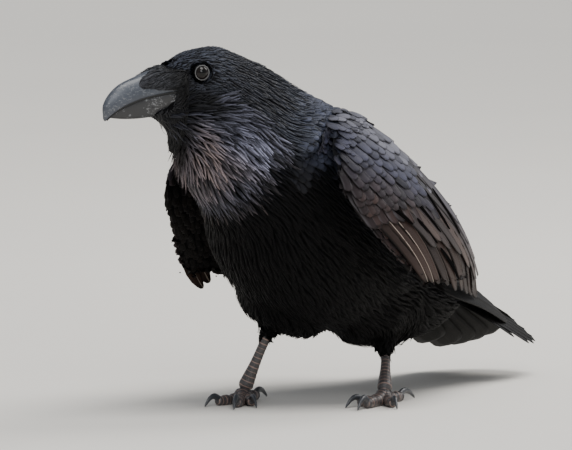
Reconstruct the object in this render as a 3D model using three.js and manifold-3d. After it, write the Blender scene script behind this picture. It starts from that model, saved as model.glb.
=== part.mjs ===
// A common raven standing still, life size, in millimetres. +Z is up, the bird faces -Y and its left is +X.
// The head is turned to the bird's right, the wings hang a little away from the flanks, and the tail
// slopes down.
import * as THREE from "three";
import { mergeVertices } from "three/addons/utils/BufferGeometryUtils.js";
import Module from "manifold-3d";

const wasm = await Module();
wasm.setup();

const GAP = 0.3; // between pieces that meet
const REACH = 600; // half size of a cutting slab or half-space

// The head's own frame: forward along the bill, level, with its origin between the eyes.
const HEAD = { at: [-23.8, -146.3, 276], turn: 29 };
const EYE = { radius: 7.2, side: 17.2, forward: -1.8 };

// Ribs of the body, from the face to the tail's root. Each one is a closed oval in a plane that stands
// across the bird: top and bottom are [forward, height] along its heading from the point "at".
const ON_HEAD = { at: HEAD.at, turn: HEAD.turn, lift: HEAD.at[2] };
const ON_TRUNK = { at: [0, 0, 0], turn: 0, lift: 0 };
const NECK_TOP = { at: [-14, -118, 0], turn: 24, lift: 0 };
const NECK_MID = { at: [-6, -85, 0], turn: 17, lift: 0 };
const NECK_BASE = { at: [-2, -62, 0], turn: 8, lift: 0 };
const BODY_RIBS = [
  { on: ON_HEAD, top: [31, 2], bottom: [36, -32], half: 10.5, widest: 0.5, full: 2 },
  { on: ON_HEAD, top: [20, 9], bottom: [30.5, -35.5], half: 15, widest: 0.5, full: 2 },
  { on: ON_HEAD, top: [8, 17], bottom: [23, -40.5], half: 19.5, widest: 0.46, full: 2 },
  { on: ON_HEAD, top: [-4, 20.5], bottom: [18, -46], half: 22.5, widest: 0.46, full: 2 },
  { on: ON_HEAD, top: [-17, 22.5], bottom: [14, -52], half: 25.5, widest: 0.5, full: 2 },
  { on: NECK_TOP, top: [-6, 296], bottom: [41, 213], half: 31, widest: 0.54, full: 2 },
  { on: NECK_MID, top: [-8, 279], bottom: [72, 195], half: 39, widest: 0.57, full: 2 },
  { on: NECK_BASE, top: [-12, 264], bottom: [87, 173], half: 48, widest: 0.58, full: 2 },
  { on: ON_TRUNK, top: [38, 256], bottom: [118, 146], half: 56, widest: 0.56, full: 2.2 },
  { on: ON_TRUNK, top: [5, 241], bottom: [96, 110], half: 63, widest: 0.55, full: 2.4, crown: 3 },
  { on: ON_TRUNK, top: [-30, 216], bottom: [63, 79], half: 66, widest: 0.55, full: 2.4, crown: 3.6 },
  { on: ON_TRUNK, top: [-62, 185], bottom: [26, 59], half: 66, widest: 0.55, full: 2.3, crown: 4.2 },
  { on: ON_TRUNK, top: [-90, 160], bottom: [-20, 50], half: 61, widest: 0.55, full: 2.2, crown: 4.2 },
  { on: ON_TRUNK, top: [-115, 139], bottom: [-68, 43], half: 52, widest: 0.56, full: 2.1, crown: 3.4 },
  { on: ON_TRUNK, top: [-137, 122], bottom: [-109, 37], half: 47, widest: 0.55, full: 2, crown: 2.6 },
  { on: ON_TRUNK, top: [-157, 108], bottom: [-146, 39], half: 41, widest: 0.5, full: 2 },
  { on: ON_TRUNK, top: [-180, 95], bottom: [-178, 53], half: 31, widest: 0.45, full: 2 },
];
const BODY_RINGS = 29;
const BODY_SIDES = 20;
const HEAD_RIB = 5.4; // the rib, counted from the face, where the head meets the neck
const NECK_RIB = 7.7; // and where the neck meets the trunk

// The bill, in the head's frame: [forward, height] of the ridge, the cutting edge and the lower edge.
const BILL = {
  ridge: [[14, 11], [26, 6], [38, 0.8], [50, -3.5], [61, -8], [70, -15], [76, -24.5], [76, -35]],
  edge: [[14, -13.5], [26, -15.5], [36, -17.5], [46, -20], [56, -23.5], [64, -27.5], [70, -32], [74.5, -37]],
  halfUpper: [10.5, 10.2, 9, 7.8, 6.7, 5.4, 3.7, 1.1],
  keel: [[14, -31], [26, -34], [36, -35.5], [46, -36.2], [56, -36.2], [64, -35.6], [70, -34.8]],
  halfLower: [10, 9.2, 8, 6.8, 5.4, 3.8, 1.2],
  rings: 11,
  sides: 10,
  arch: 2.2, // roundness of the upper half's section, 2 being an ellipse
  crown: 0.12, // how far the flat side of a half bulges, as a share of its height
  lowerEnd: 0.86, // the lower half ends at this share of the cutting edge
};
const NOSTRIL_TUFT = {
  from: 22,
  to: 43,
  pace: 0.87, // the ridge's own count runs ahead of the distance forward by this
  thick: 1.6,
  lowest: 0.62, // how far down the bill's side it reaches, as a share of the side's height
  tipReach: 0.35, // and how much of that is left at its front
  tipWidth: 0.82, // its width at the front, as a share of the bill's
  sunk: 0.4, // how far its front edge runs into the ridge
  sides: 8,
  rings: 5,
};

// A wing panel, for the left side. Upper, middle and lower lines run from the wrist to the tip.
const WING = {
  upper: [[56, -74, 220], [50, -44, 244], [50, -8, 236], [53, 22, 221], [60, 52, 198], [65, 78, 176],
    [66, 98, 155], [61, 128, 127], [50, 172, 84]],
  middle: [[84, -88, 208], [92, -52, 208], [99, -14, 192], [102, 20, 171], [100, 50, 149], [95, 78, 134],
    [88, 102, 121], [76, 130, 105], [55, 170, 76]],
  lower: [[78, -88, 184], [92, -60, 146], [111, -19, 103], [106, 12, 96], [99, 42, 93], [89, 72, 90],
    [77, 98, 88], [65, 126, 84], [47, 164, 74]],
  thick: [13, 13, 11, 8, 7, 6, 5, 4, 2.5],
  farShift: [-4, -3, -9], // the right wing's wrist is held a little further out, forward and down
  farShare: { upper: 0.3, middle: 1, lower: 1.4 }, // and how much of that each line takes
  wristThick: 0.35, // the front edge is rounded, from this share of the thickness
  wristRun: 0.25, // over this share of the wing's length
  rings: 16,
  across: 8,
};
// A long feather's outline: full width from "widens" on, and a round tip from "rounds" on.
const FEATHER = { steps: 5, crowd: 1.5, rootWidth: 0.5, widens: 0.42, rounds: 0.86, tipWidth: 0.1 };
// The long flight feathers that show past the panel, on the left side, from the inner to the outer.
const PRIMARIES = {
  count: 4,
  root: [[62, 82, 110], [72, 74, 96]],
  tip: [[14, 226, 72], [22, 262, 54]],
  width: 24,
  thick: 1.8,
  bow: 7,
  across: [0.6, 0, -0.8], // from edge to edge of a feather
};
const TAIL = {
  pairs: 6,
  root: [0, 128, 105],
  length: 188,
  slope: 19.5,
  wedge: 1.5, // the outer feathers are shorter by this times the square of their place from the middle
  outerStep: 8,
  roof: 0.6, // how far the outer feathers lie below the middle ones, for each millimetre outwards
  roll: -0.03, // and how far the left side is lifted, or dropped below 0
  aside: -1.5, // degrees the tail points to the right
  fan: 2.2, // degrees between neighbours
  middleTurn: 0.4, // the middle pair is turned out by this share of that
  spread: 3.2, // and millimetres between them at the root
  middleOut: 2,
  bow: 2,
  width: 25,
  thick: 1.8,
};

const LEG = {
  left: { foot: [50, 27, 10], ankle: [27, 66, 46], thighTop: [36, 34, 108], hem: 0.5, toes: 12, hind: 182 },
  right: { foot: [-50, -27, 10], ankle: [-29, -18, 63], thighTop: [-34, 6, 112], hem: 0.72, toes: 26, hind: 190 },
  shank: [4.4, 3.9, 3.7, 4.2, 5.4, 6.8], // radii from the ankle down to the joint of the toes
  thigh: [32, 27, 18, 10, 5.2],
  knee: 0.55, // where the thigh's line bends, from its top to the ankle
  cuff: 0.12, // and where it has narrowed to the shank, from the ankle up
  seam: [0.31, 0.95, 0], // the way across a limb's sections
};
// Toes: bearing is in degrees from the foot's own heading, outwards; reach is along the ground.
const TOES = [
  { name: "inner", bearing: -20, reach: 31, radius: 4.2, claw: 18, arch: 6 },
  { name: "middle", bearing: 0, reach: 42, radius: 4.5, claw: 20, arch: 7 },
  { name: "outer", bearing: 33, reach: 33, radius: 4.0, claw: 16, arch: 6 },
  { name: "hind", bearing: 180, reach: 27, radius: 4.4, claw: 23, arch: 5 },
];

const TOE = {
  rings: 6,
  sides: 6,
  pads: 3,
  padSwell: 0.1,
  rootSize: 1.05, // the radius at the root, as a share of the toe's own
  taper: 0.2,
  rounds: 0.9, // the share of its length where the end begins to round off
  tip: 0.06,
  rest: 0.86, // how high the toe's middle lies over the floor, as a share of its radius
  start: [3, -2.5], // where it leaves the foot's joint: forward and up
  bends: [0.36, 0.68], // shares of its reach along the ground
};
// The claw's line from the toe's end: forward as a share of its length, then height as shares of the
// toe's radius and of the claw's arch.
const CLAW = {
  root: [-3.2, 1.15],
  line: [[0.18, 1.25, 0.45], [0.52, 0.9, 0.5], [0.8, 0.55, 0.1]],
  tip: [0.93, 0.6],
  thick: 0.62, // radius at the root, as a share of the toe's
  point: 0.28,
  narrow: 0.8,
  fall: 0.75,
  rings: 5,
  sides: 5,
};

const MATERIAL = {
  head: [0x2b2d35, 0.5],
  neck: [0x34323a, 0.5],
  trunk: [0x1a1a1f, 0.55],
  wing: [0x3a3840, 0.45],
  primaries: [0x2c2625, 0.5],
  tail: [0x24221f, 0.5],
  thigh: [0x18171a, 0.6],
  bill: [0x3c4148, 0.35],
  tuft: [0x19181a, 0.6],
  eye: [0x150f0c, 0.08],
  leg: [0x3a3634, 0.5],
  claw: [0x22262c, 0.3],
};

// ---------- helpers ----------

const vec = (p) => new THREE.Vector3(...p);
const radians = THREE.MathUtils.degToRad;
const mirrored = (p) => [-p[0], p[1], p[2]];

// A smooth line through points, sampled by a number from 0 to 1 that is even in the points.
function line(points) {
  return new THREE.CatmullRomCurve3(points.map(vec), false, "catmullrom", 0.5);
}

// A smooth run of plain numbers.
function run(values) {
  const curve = line(values.map((v) => [v, 0, 0]));
  return (t) => curve.getPoint(t).x;
}

// A smooth line in the head's upright plane.
function profile(points) {
  return line(points.map(([forward, height]) => [forward, height, 0]));
}

const heading = (turn) => new THREE.Vector3(-Math.sin(radians(turn)), -Math.cos(radians(turn)), 0);
const sideways = (turn) => new THREE.Vector3(Math.cos(radians(turn)), -Math.sin(radians(turn)), 0);

// A point given forward, to the left and up from the head's origin.
function headPoint(forward, left, up) {
  return vec(HEAD.at)
    .addScaledVector(heading(HEAD.turn), forward)
    .addScaledVector(sideways(HEAD.turn), left)
    .add(new THREE.Vector3(0, 0, up));
}

// A closed solid through rings of points. Every ring has the same count, and goes the same way round.
function loft(rings) {
  const sides = rings[0].length;
  const positions = [];
  rings.flat().forEach((p) => positions.push(p.x, p.y, p.z));
  const index = [];
  for (let i = 0; i < rings.length - 1; i++) {
    for (let j = 0; j < sides; j++) {
      const a = i * sides + j;
      const b = i * sides + ((j + 1) % sides);
      index.push(a, b, b + sides, a, b + sides, a + sides);
    }
  }
  [0, rings.length - 1].forEach((i) => {
    const centre = rings[i].reduce((sum, p) => sum.add(p), new THREE.Vector3()).divideScalar(sides);
    const hub = positions.length / 3;
    positions.push(centre.x, centre.y, centre.z);
    for (let j = 0; j < sides; j++) {
      const a = i * sides + j;
      const b = i * sides + ((j + 1) % sides);
      index.push(...(i === 0 ? [b, a, hub] : [a, b, hub]));
    }
  });
  const geometry = new THREE.BufferGeometry();
  geometry.setAttribute("position", new THREE.Float32BufferAttribute(positions, 3));
  geometry.setIndex(index);
  return geometry;
}

// The geometry as a manifold-3d solid, turned right way out if its rings ran the other way.
function solid(geometry) {
  const bare = geometry.clone();
  bare.deleteAttribute("normal");
  bare.deleteAttribute("uv");
  const merged = mergeVertices(bare, 1e-4);
  const triVerts = new Uint32Array(merged.index.array);
  const build = () => new wasm.Manifold(
    new wasm.Mesh({ numProp: 3, vertProperties: merged.attributes.position.array, triVerts }),
  );
  const made = build();
  if (made.volume() > 0) return made;
  for (let i = 0; i < triVerts.length; i += 3) {
    [triVerts[i + 1], triVerts[i + 2]] = [triVerts[i + 2], triVerts[i + 1]];
  }
  return build();
}

function geometryOf(body) {
  const mesh = body.getMesh();
  const geometry = new THREE.BufferGeometry();
  geometry.setAttribute("position", new THREE.BufferAttribute(new Float32Array(mesh.vertProperties), 3));
  geometry.setIndex(new THREE.BufferAttribute(new Uint32Array(mesh.triVerts), 1));
  return geometry;
}

// The largest of the separate bodies that a cut leaves.
function largest(body) {
  return body.decompose().reduce((a, b) => (a.volume() > b.volume() ? a : b));
}

// Everything on the side of a plane that its normal points to.
function halfSpace(point, normal) {
  const box = new THREE.BoxGeometry(2 * REACH, 2 * REACH, 2 * REACH);
  const turn = new THREE.Quaternion().setFromUnitVectors(new THREE.Vector3(0, 0, 1), normal);
  box.applyQuaternion(turn);
  box.translate(...point.clone().addScaledVector(normal, REACH + GAP / 2).toArray());
  return solid(box);
}

const ABOVE_FLOOR = halfSpace(new THREE.Vector3(0, 0, -GAP / 2), new THREE.Vector3(0, 0, 1));

// ---------- body ----------

// Where a rib's top and bottom are, in the bird's frame.
function ribPoint(on, [forward, height]) {
  return new THREE.Vector3(on.at[0], on.at[1], on.lift + height).addScaledVector(heading(on.turn), forward);
}

const bodyTop = line(BODY_RIBS.map((r) => ribPoint(r.on, r.top).toArray()));
const bodyBottom = line(BODY_RIBS.map((r) => ribPoint(r.on, r.bottom).toArray()));
const bodyHalf = run(BODY_RIBS.map((r) => r.half));
const bodyWidest = run(BODY_RIBS.map((r) => r.widest));
const bodyTurn = run(BODY_RIBS.map((r) => r.on.turn));
const bodyFull = run(BODY_RIBS.map((r) => r.full));
const bodyCrown = run(BODY_RIBS.map((r) => r.crown ?? r.full)); // the back fills the space between the wings

function bodyRing(t, grow) {
  const top = bodyTop.getPoint(t);
  const bottom = bodyBottom.getPoint(t);
  const centre = top.clone().lerp(bottom, bodyWidest(t));
  const up = top.clone().sub(bottom).normalize();
  const side = sideways(bodyTurn(t));
  const rise = top.distanceTo(centre) + grow;
  const drop = bottom.distanceTo(centre) + grow;
  const rounded = (x, full) => Math.sign(x) * Math.abs(x) ** (2 / full); // 2 is an oval, more has fuller shoulders
  return Array.from({ length: BODY_SIDES }, (_, j) => {
    const a = (2 * Math.PI * j) / BODY_SIDES;
    const above = Math.sin(a) > 0;
    const full = above ? bodyCrown(t) : bodyFull(t);
    const height = rounded(Math.sin(a), full) * (above ? rise : drop);
    const across = rounded(Math.cos(a), full) * (bodyHalf(t) + grow);
    return centre.clone().addScaledVector(side, across).addScaledVector(up, height);
  });
}

function bodySolid(grow) {
  const rings = Array.from({ length: BODY_RINGS + 1 }, (_, i) => bodyRing(i / BODY_RINGS, grow));
  return solid(loft(rings));
}

// The plane across the body at a rib, facing the tail.
function acrossBody(rib) {
  const t = rib / (BODY_RIBS.length - 1);
  const top = bodyTop.getPoint(t);
  const bottom = bodyBottom.getPoint(t);
  const normal = new THREE.Vector3().crossVectors(top.clone().sub(bottom), sideways(bodyTurn(t))).normalize();
  if (normal.dot(heading(bodyTurn(t))) > 0) normal.negate();
  return [top.lerp(bottom, 0.5), normal];
}

function cutAcross(body, rib) {
  const [point, normal] = acrossBody(rib);
  return [
    body.intersect(halfSpace(point, normal.clone().negate())),
    body.intersect(halfSpace(point, normal)),
  ];
}

// ---------- bill, tuft and eyes ----------

const ridge = profile(BILL.ridge);
const edge = profile(BILL.edge);
const keel = profile(BILL.keel);
const halfUpper = run(BILL.halfUpper);
const halfLower = run(BILL.halfLower);

// An arched section between a high and a low point of the head's upright plane.
function archRing(high, low, half, sides, roundness, downwards) {
  return Array.from({ length: sides }, (_, j) => {
    const a = (2 * Math.PI * j) / sides;
    const across = Math.cos(a) * half;
    const share = Math.abs(Math.sin(a)) ** (2 / roundness);
    const bulge = Math.sin(a) > 0 ? share : -BILL.crown * share;
    const base = downwards ? high : low;
    const top = downwards ? low : high;
    return headPoint(
      base.x + (top.x - base.x) * bulge,
      across,
      base.y + (top.y - base.y) * bulge,
    );
  });
}

function upperBill(grow) {
  const rings = Array.from({ length: BILL.rings + 1 }, (_, i) => {
    const t = i / BILL.rings;
    const end = i === 0 ? -grow : i === BILL.rings ? grow : 0;
    const high = ridge.getPoint(t).add(new THREE.Vector3(end, grow, 0));
    const low = edge.getPoint(t).add(new THREE.Vector3(end, -grow, 0));
    return archRing(high, low, halfUpper(t) + grow, BILL.sides, BILL.arch, false);
  });
  return solid(loft(rings));
}

function lowerBill(grow) {
  const rings = Array.from({ length: BILL.rings + 1 }, (_, i) => {
    const t = i / BILL.rings;
    const end = i === 0 ? -grow : i === BILL.rings ? grow : 0;
    const low = keel.getPoint(t).add(new THREE.Vector3(end, -grow, 0));
    const onEdge = edge.getPoint(t * BILL.lowerEnd).add(new THREE.Vector3(end, grow, 0));
    const half = halfLower(t) + grow;
    return archRing(onEdge, low, half, BILL.sides, 2, true);
  });
  return solid(loft(rings));
}

// The bristles that lie over the nostrils: a shell on the ridge and sides of the upper bill.
function nostrilTuft() {
  const { from, to, pace, thick, lowest, tipReach, tipWidth, sunk, sides, rings } = NOSTRIL_TUFT;
  const first = BILL.ridge[0][0];
  const last = BILL.ridge[BILL.ridge.length - 1][0];
  const made = Array.from({ length: rings + 1 }, (_, i) => {
    const s = i / rings;
    const t = ((from + (to - from) * s - first) / (last - first)) * pace;
    const fade = Math.sqrt(Math.max(0, 1 - s ** 3));
    const high = ridge.getPoint(t);
    const low = edge.getPoint(t);
    const bottom = high.y + (low.y - high.y) * lowest * (tipReach + (1 - tipReach) * fade);
    const half = halfUpper(t) * (tipWidth + (1 - tipWidth) * fade) + thick * fade;
    const top = new THREE.Vector3(high.x, high.y + thick * fade - sunk * (1 - fade), 0);
    return archRing(top, new THREE.Vector3(high.x, bottom, 0), half, sides, 2, false);
  });
  return solid(loft(made));
}

function eye(side, grow) {
  const ball = new THREE.SphereGeometry(EYE.radius + grow, 12, 8);
  ball.translate(...headPoint(EYE.forward, side * EYE.side, 0).toArray());
  return solid(ball);
}

// ---------- wings and tail ----------

// A thin panel between an upper and a lower line, bowed out through the middle one.
function wingPanel(side, grow) {
  const lineOf = (points, share) => line(points.map((p, i) => {
    if (side > 0) return p;
    const fade = share * (1 - i / (points.length - 1)) ** 2;
    return mirrored(p).map((v, axis) => v + WING.farShift[axis] * fade);
  }));
  const upper = lineOf(WING.upper, WING.farShare.upper);
  const middle = lineOf(WING.middle, WING.farShare.middle);
  const lower = lineOf(WING.lower, WING.farShare.lower);
  const thick = run(WING.thick);
  const outward = new THREE.Vector3(side, 0, 0);
  const rings = Array.from({ length: WING.rings + 1 }, (_, i) => {
    const t = i / WING.rings;
    const along = upper.getTangent(t).multiplyScalar(i === 0 ? -grow : i === WING.rings ? grow : 0);
    const u = upper.getPoint(t).add(along).add(new THREE.Vector3(0, 0, 2 * grow));
    const m = middle.getPoint(t).add(along).addScaledVector(outward, 2 * grow);
    const l = lower.getPoint(t).add(along).add(new THREE.Vector3(0, 0, -2 * grow));
    const section = new THREE.QuadraticBezierCurve3(u, m, l);
    const outer = section.getPoints(WING.across);
    const front = Math.min(1, WING.wristThick + t / WING.wristRun);
    const inner = outer.slice(1, -1).map((p, j) => {
      const share = Math.sin((Math.PI * (j + 1)) / WING.across) ** 0.5;
      return p.clone().addScaledVector(outward, -thick(t) * share * front - 3 * grow);
    });
    return outer.concat(inner.reverse());
  });
  return solid(loft(rings));
}

// One flat feather with a rounded tip, from its root to its tip, bowed upwards.
function feather(root, tip, { width, thick, bow }, across, grow) {
  const along = tip.clone().sub(root);
  const reach = 1 + grow / along.length();
  const up = new THREE.Vector3().crossVectors(across, along).normalize();
  if (up.z < 0) up.negate();
  const side = new THREE.Vector3().crossVectors(along, up).normalize();
  const rings = Array.from({ length: FEATHER.steps + 1 }, (_, i) => {
    const t = 1 - (1 - i / FEATHER.steps) ** FEATHER.crowd; // rings crowd towards the rounded tip
    const tipShare = Math.max(0, (t - FEATHER.rounds) / (1 - FEATHER.rounds));
    const round = Math.sqrt(Math.max(FEATHER.tipWidth ** 2, 1 - tipShare ** 2));
    const widened = Math.min(FEATHER.rootWidth + (1 - FEATHER.rootWidth) * (t / FEATHER.widens), 1);
    const half = (width / 2) * widened * round + grow;
    const centre = root.clone().addScaledVector(along, t * reach);
    centre.addScaledVector(up, bow * Math.sin(Math.PI * t));
    const point = (x, y) => centre.clone().addScaledVector(side, x).addScaledVector(up, y);
    return [point(-half, 0), point(0, thick / 2 + grow), point(half, 0), point(0, -thick / 2 - grow)];
  });
  return solid(loft(rings));
}

function primaries(side, grow) {
  const flip = side > 0 ? (p) => vec(p) : (p) => vec(mirrored(p));
  const [innerRoot, outerRoot] = PRIMARIES.root.map(flip);
  const [innerTip, outerTip] = PRIMARIES.tip.map(flip);
  const across = flip(PRIMARIES.across);
  const blades = Array.from({ length: PRIMARIES.count }, (_, i) => {
    const s = i / (PRIMARIES.count - 1);
    const root = innerRoot.clone().lerp(outerRoot, s);
    return feather(root, innerTip.clone().lerp(outerTip, s), PRIMARIES, across, grow);
  });
  return blades.reduce((a, b) => a.add(b));
}

function tail() {
  const slope = radians(TAIL.slope);
  const blades = [];
  for (let i = 0; i < TAIL.pairs; i++) {
    for (const side of [1, -1]) {
      const length = TAIL.length - TAIL.wedge * i * i - (i === TAIL.pairs - 1 ? TAIL.outerStep : 0);
      const turn = radians((i + TAIL.middleTurn) * TAIL.fan * side + TAIL.aside);
      const out = side * (TAIL.middleOut + TAIL.spread * i);
      const lean = TAIL.roll - side * TAIL.roof;
      const from = vec(TAIL.root).add(new THREE.Vector3(out, 0, out * lean));
      const across = Math.sin(turn) * length;
      const drop = Math.sin(slope) * length - across * lean;
      const to = from.clone().add(new THREE.Vector3(across, Math.cos(slope) * length, -drop));
      const tilt = new THREE.Vector3(1, 0, lean);
      blades.push(feather(from, to, TAIL, tilt, 0));
    }
  }
  return blades.reduce((a, b) => a.add(b));
}

// ---------- legs ----------

// A round limb along a line, with its radius given from end to end.
function limb(points, radii, rings, sides) {
  const path = line(points);
  const radius = run(radii);
  const made = Array.from({ length: rings + 1 }, (_, i) => {
    const t = i / rings;
    const along = path.getTangent(t);
    const side = new THREE.Vector3().crossVectors(along, vec(LEG.seam)).normalize();
    const other = new THREE.Vector3().crossVectors(along, side);
    return Array.from({ length: sides }, (_, j) => {
      const a = (2 * Math.PI * j) / sides;
      return path.getPoint(t)
        .addScaledVector(side, Math.cos(a) * radius(t))
        .addScaledVector(other, Math.sin(a) * radius(t));
    });
  });
  return solid(loft(made));
}

function shank(leg, grow) {
  const middle = vec(leg.ankle).lerp(vec(leg.foot), 0.5).toArray();
  return limb([leg.ankle, middle, leg.foot], LEG.shank.map((r) => r + grow), 7, 10);
}

function thigh(leg) {
  const top = vec(leg.thighTop);
  const ankle = vec(leg.ankle);
  const hem = ankle.clone().lerp(vec(leg.foot), 1 - leg.hem);
  const points = [top, top.clone().lerp(ankle, LEG.knee), ankle.clone().lerp(top, LEG.cuff), hem];
  return limb(points.map((p) => p.toArray()), LEG.thigh, 6, 9);
}

// A toe runs down from the foot's joint to the ground and along it, with pads and a flat sole.
function toeLine(leg, side, toe) {
  const bearing = radians(toe.name === "hind" ? leg.hind : leg.toes + side * toe.bearing);
  const way = new THREE.Vector3(Math.sin(bearing), -Math.cos(bearing), 0);
  const rest = toe.radius * TOE.rest;
  const foot = vec(leg.foot);
  const ground = (reach) => new THREE.Vector3(foot.x, foot.y, rest).addScaledVector(way, reach);
  const start = foot.clone().addScaledVector(way, TOE.start[0]).setZ(foot.z + TOE.start[1]);
  return { way, points: [start, ...TOE.bends.map((share) => ground(toe.reach * share)), ground(toe.reach)] };
}

function toeBody(leg, side, toe, grow) {
  const { points } = toeLine(leg, side, toe);
  const path = new THREE.CatmullRomCurve3(points, false, "catmullrom", 0.5);
  const made = Array.from({ length: TOE.rings + 1 }, (_, i) => {
    const t = i / TOE.rings;
    const pad = 1 + TOE.padSwell * Math.cos(2 * Math.PI * TOE.pads * t);
    const end = Math.sqrt(Math.max(TOE.tip, 1 - Math.max(0, (t - TOE.rounds) / (1 - TOE.rounds)) ** 2));
    const radius = toe.radius * (TOE.rootSize - TOE.taper * t) * pad * end + grow;
    const along = path.getTangent(t);
    const level = new THREE.Vector3().crossVectors(along, new THREE.Vector3(0, 0, 1)).normalize();
    const up = new THREE.Vector3().crossVectors(level, along);
    return Array.from({ length: TOE.sides }, (_, j) => {
      const a = (2 * Math.PI * (j + 0.5)) / TOE.sides;
      return path.getPoint(t)
        .addScaledVector(level, Math.cos(a) * radius)
        .addScaledVector(up, Math.sin(a) * radius);
    });
  });
  return solid(loft(made)).intersect(ABOVE_FLOOR);
}

// A claw leaves the top of the toe's end, arches over and comes down just clear of the ground.
function clawBody(leg, side, toe, grow) {
  const { way, points } = toeLine(leg, side, toe);
  const end = points[3];
  const at = (forward, height) => end.clone().addScaledVector(way, forward).setZ(height);
  const path = new THREE.CatmullRomCurve3([
    at(CLAW.root[0], toe.radius * CLAW.root[1]),
    ...CLAW.line.map(([share, high, arch]) => at(toe.claw * share, toe.radius * high + toe.arch * arch)),
    at(toe.claw * CLAW.tip[0], CLAW.tip[1]),
  ], false, "catmullrom", 0.5);
  const made = Array.from({ length: CLAW.rings + 1 }, (_, i) => {
    const t = i / CLAW.rings;
    const radius = toe.radius * CLAW.thick * (1 - t) ** CLAW.fall + CLAW.point + grow;
    const along = path.getTangent(t);
    const level = new THREE.Vector3().crossVectors(along, new THREE.Vector3(0, 0, 1)).normalize();
    const up = new THREE.Vector3().crossVectors(level, along);
    return Array.from({ length: CLAW.sides }, (_, j) => {
      const a = (2 * Math.PI * j) / CLAW.sides;
      return path.getPoint(t)
        .addScaledVector(level, Math.cos(a) * radius * CLAW.narrow)
        .addScaledVector(up, Math.sin(a) * radius);
    });
  });
  return solid(loft(made)).intersect(ABOVE_FLOOR);
}

// ---------- assembly ----------

const raven = new THREE.Group();

function place(name, body, kind) {
  const [color, roughness] = MATERIAL[kind];
  const material = new THREE.MeshStandardMaterial({ color, roughness, metalness: 0 });
  const mesh = new THREE.Mesh(geometryOf(body), material);
  mesh.name = name;
  raven.add(mesh);
}

const body = bodySolid(0);
const bodyRoom = bodySolid(GAP);
const [headAlone, behindHead] = cutAcross(body, HEAD_RIB);
const [neck, trunk] = cutAcross(behindHead, NECK_RIB);

const billRoom = upperBill(GAP).add(lowerBill(GAP));
const eyeRoom = eye(1, GAP).add(eye(-1, GAP));
const head = largest(headAlone.subtract(billRoom).subtract(eyeRoom));
const tuft = largest(nostrilTuft().subtract(billRoom).subtract(bodyRoom));
place("head", head, "head");
place("neck", largest(neck), "neck");
place("nostril_tuft", tuft, "tuft");
place("bill_upper", upperBill(0), "bill");
place("bill_lower", largest(lowerBill(0).subtract(upperBill(GAP))), "bill");
place("eye_left", eye(1, 0), "eye");
place("eye_right", eye(-1, 0), "eye");

const shankRoom = shank(LEG.left, GAP).add(shank(LEG.right, GAP));
const primariesRoom = primaries(1, GAP).add(primaries(-1, GAP));
place("trunk", largest(trunk.subtract(shankRoom)), "trunk");
place("tail", largest(tail().subtract(bodyRoom).subtract(primariesRoom)), "tail");

for (const [name, side] of [["left", 1], ["right", -1]]) {
  const leg = LEG[name];
  const blades = primaries(side, 0).subtract(bodyRoom).subtract(wingPanel(side, 1.5 * GAP));
  place("wing_" + name, largest(wingPanel(side, 0).subtract(bodyRoom)), "wing");
  place("primaries_" + name, largest(blades), "primaries");
  place("thigh_" + name, largest(thigh(leg).subtract(bodyRoom).subtract(shankRoom)), "thigh");
  place("shank_" + name, shank(leg, 0), "leg");
  let taken = shankRoom; // what the toes made so far fill at the joint
  for (const toe of [TOES[1], TOES[3], TOES[0], TOES[2]]) {
    const whole = toeBody(leg, side, toe, 0).subtract(taken).subtract(clawBody(leg, side, toe, GAP));
    place("toe_" + toe.name + "_" + name, largest(whole), "leg");
    place("claw_" + toe.name + "_" + name, clawBody(leg, side, toe, 0), "claw");
    taken = taken.add(toeBody(leg, side, toe, GAP));
  }
}

// The origin is under the middle of the bird, on the ground.
const box = new THREE.Box3().setFromObject(raven);
const middle = box.getCenter(new THREE.Vector3());
raven.position.set(-middle.x, -middle.y, -box.min.z);

export default raven;
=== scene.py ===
import math

import bmesh
import bpy
import numpy as np
from mathutils import Matrix, Vector
from mathutils.bvhtree import BVHTree
from mathutils.kdtree import KDTree


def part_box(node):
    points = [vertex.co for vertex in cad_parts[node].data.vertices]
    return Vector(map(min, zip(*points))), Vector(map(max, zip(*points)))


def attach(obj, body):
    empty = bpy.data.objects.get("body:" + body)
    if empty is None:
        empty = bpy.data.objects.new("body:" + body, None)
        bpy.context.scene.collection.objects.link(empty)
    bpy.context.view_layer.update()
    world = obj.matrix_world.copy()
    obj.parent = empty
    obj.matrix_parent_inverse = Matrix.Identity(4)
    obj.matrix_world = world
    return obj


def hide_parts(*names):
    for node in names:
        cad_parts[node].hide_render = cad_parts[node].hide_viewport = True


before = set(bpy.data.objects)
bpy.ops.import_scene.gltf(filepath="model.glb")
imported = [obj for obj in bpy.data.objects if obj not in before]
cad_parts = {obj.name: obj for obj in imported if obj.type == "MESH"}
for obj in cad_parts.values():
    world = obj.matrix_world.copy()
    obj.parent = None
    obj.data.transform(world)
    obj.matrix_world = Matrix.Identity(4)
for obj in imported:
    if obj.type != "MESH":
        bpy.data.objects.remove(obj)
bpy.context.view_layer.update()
chance = np.random.default_rng(5)
mm = 0.001
up = Vector((0, 0, 1))

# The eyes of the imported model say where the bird's own millimetres are in the shared frame.
places = {
    "eyesMiddle": (-22.93, -144.73, 276),
    "eyesBack": 1.8,  # the eyes lie this far behind the head's origin
}


def middleOf(node):
    low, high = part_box(node)
    return (low + high) / 2


leftEye, rightEye = middleOf("eye_left"), middleOf("eye_right")
headLeft = (leftEye - rightEye).normalized()
headForward = headLeft.cross(up)
birdZero = (leftEye + rightEye) / 2 - Vector(places["eyesMiddle"]) * mm
headZero = (leftEye + rightEye) / 2 + headForward * places["eyesBack"] * mm


def bird(*point):  # millimetres in the bird's own frame, to metres in the shared one
    return birdZero + Vector(point) * mm


def onHead(forward, left, high):  # millimetres from the middle of the head
    return headZero + (headForward * forward + headLeft * left + up * high) * mm


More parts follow.
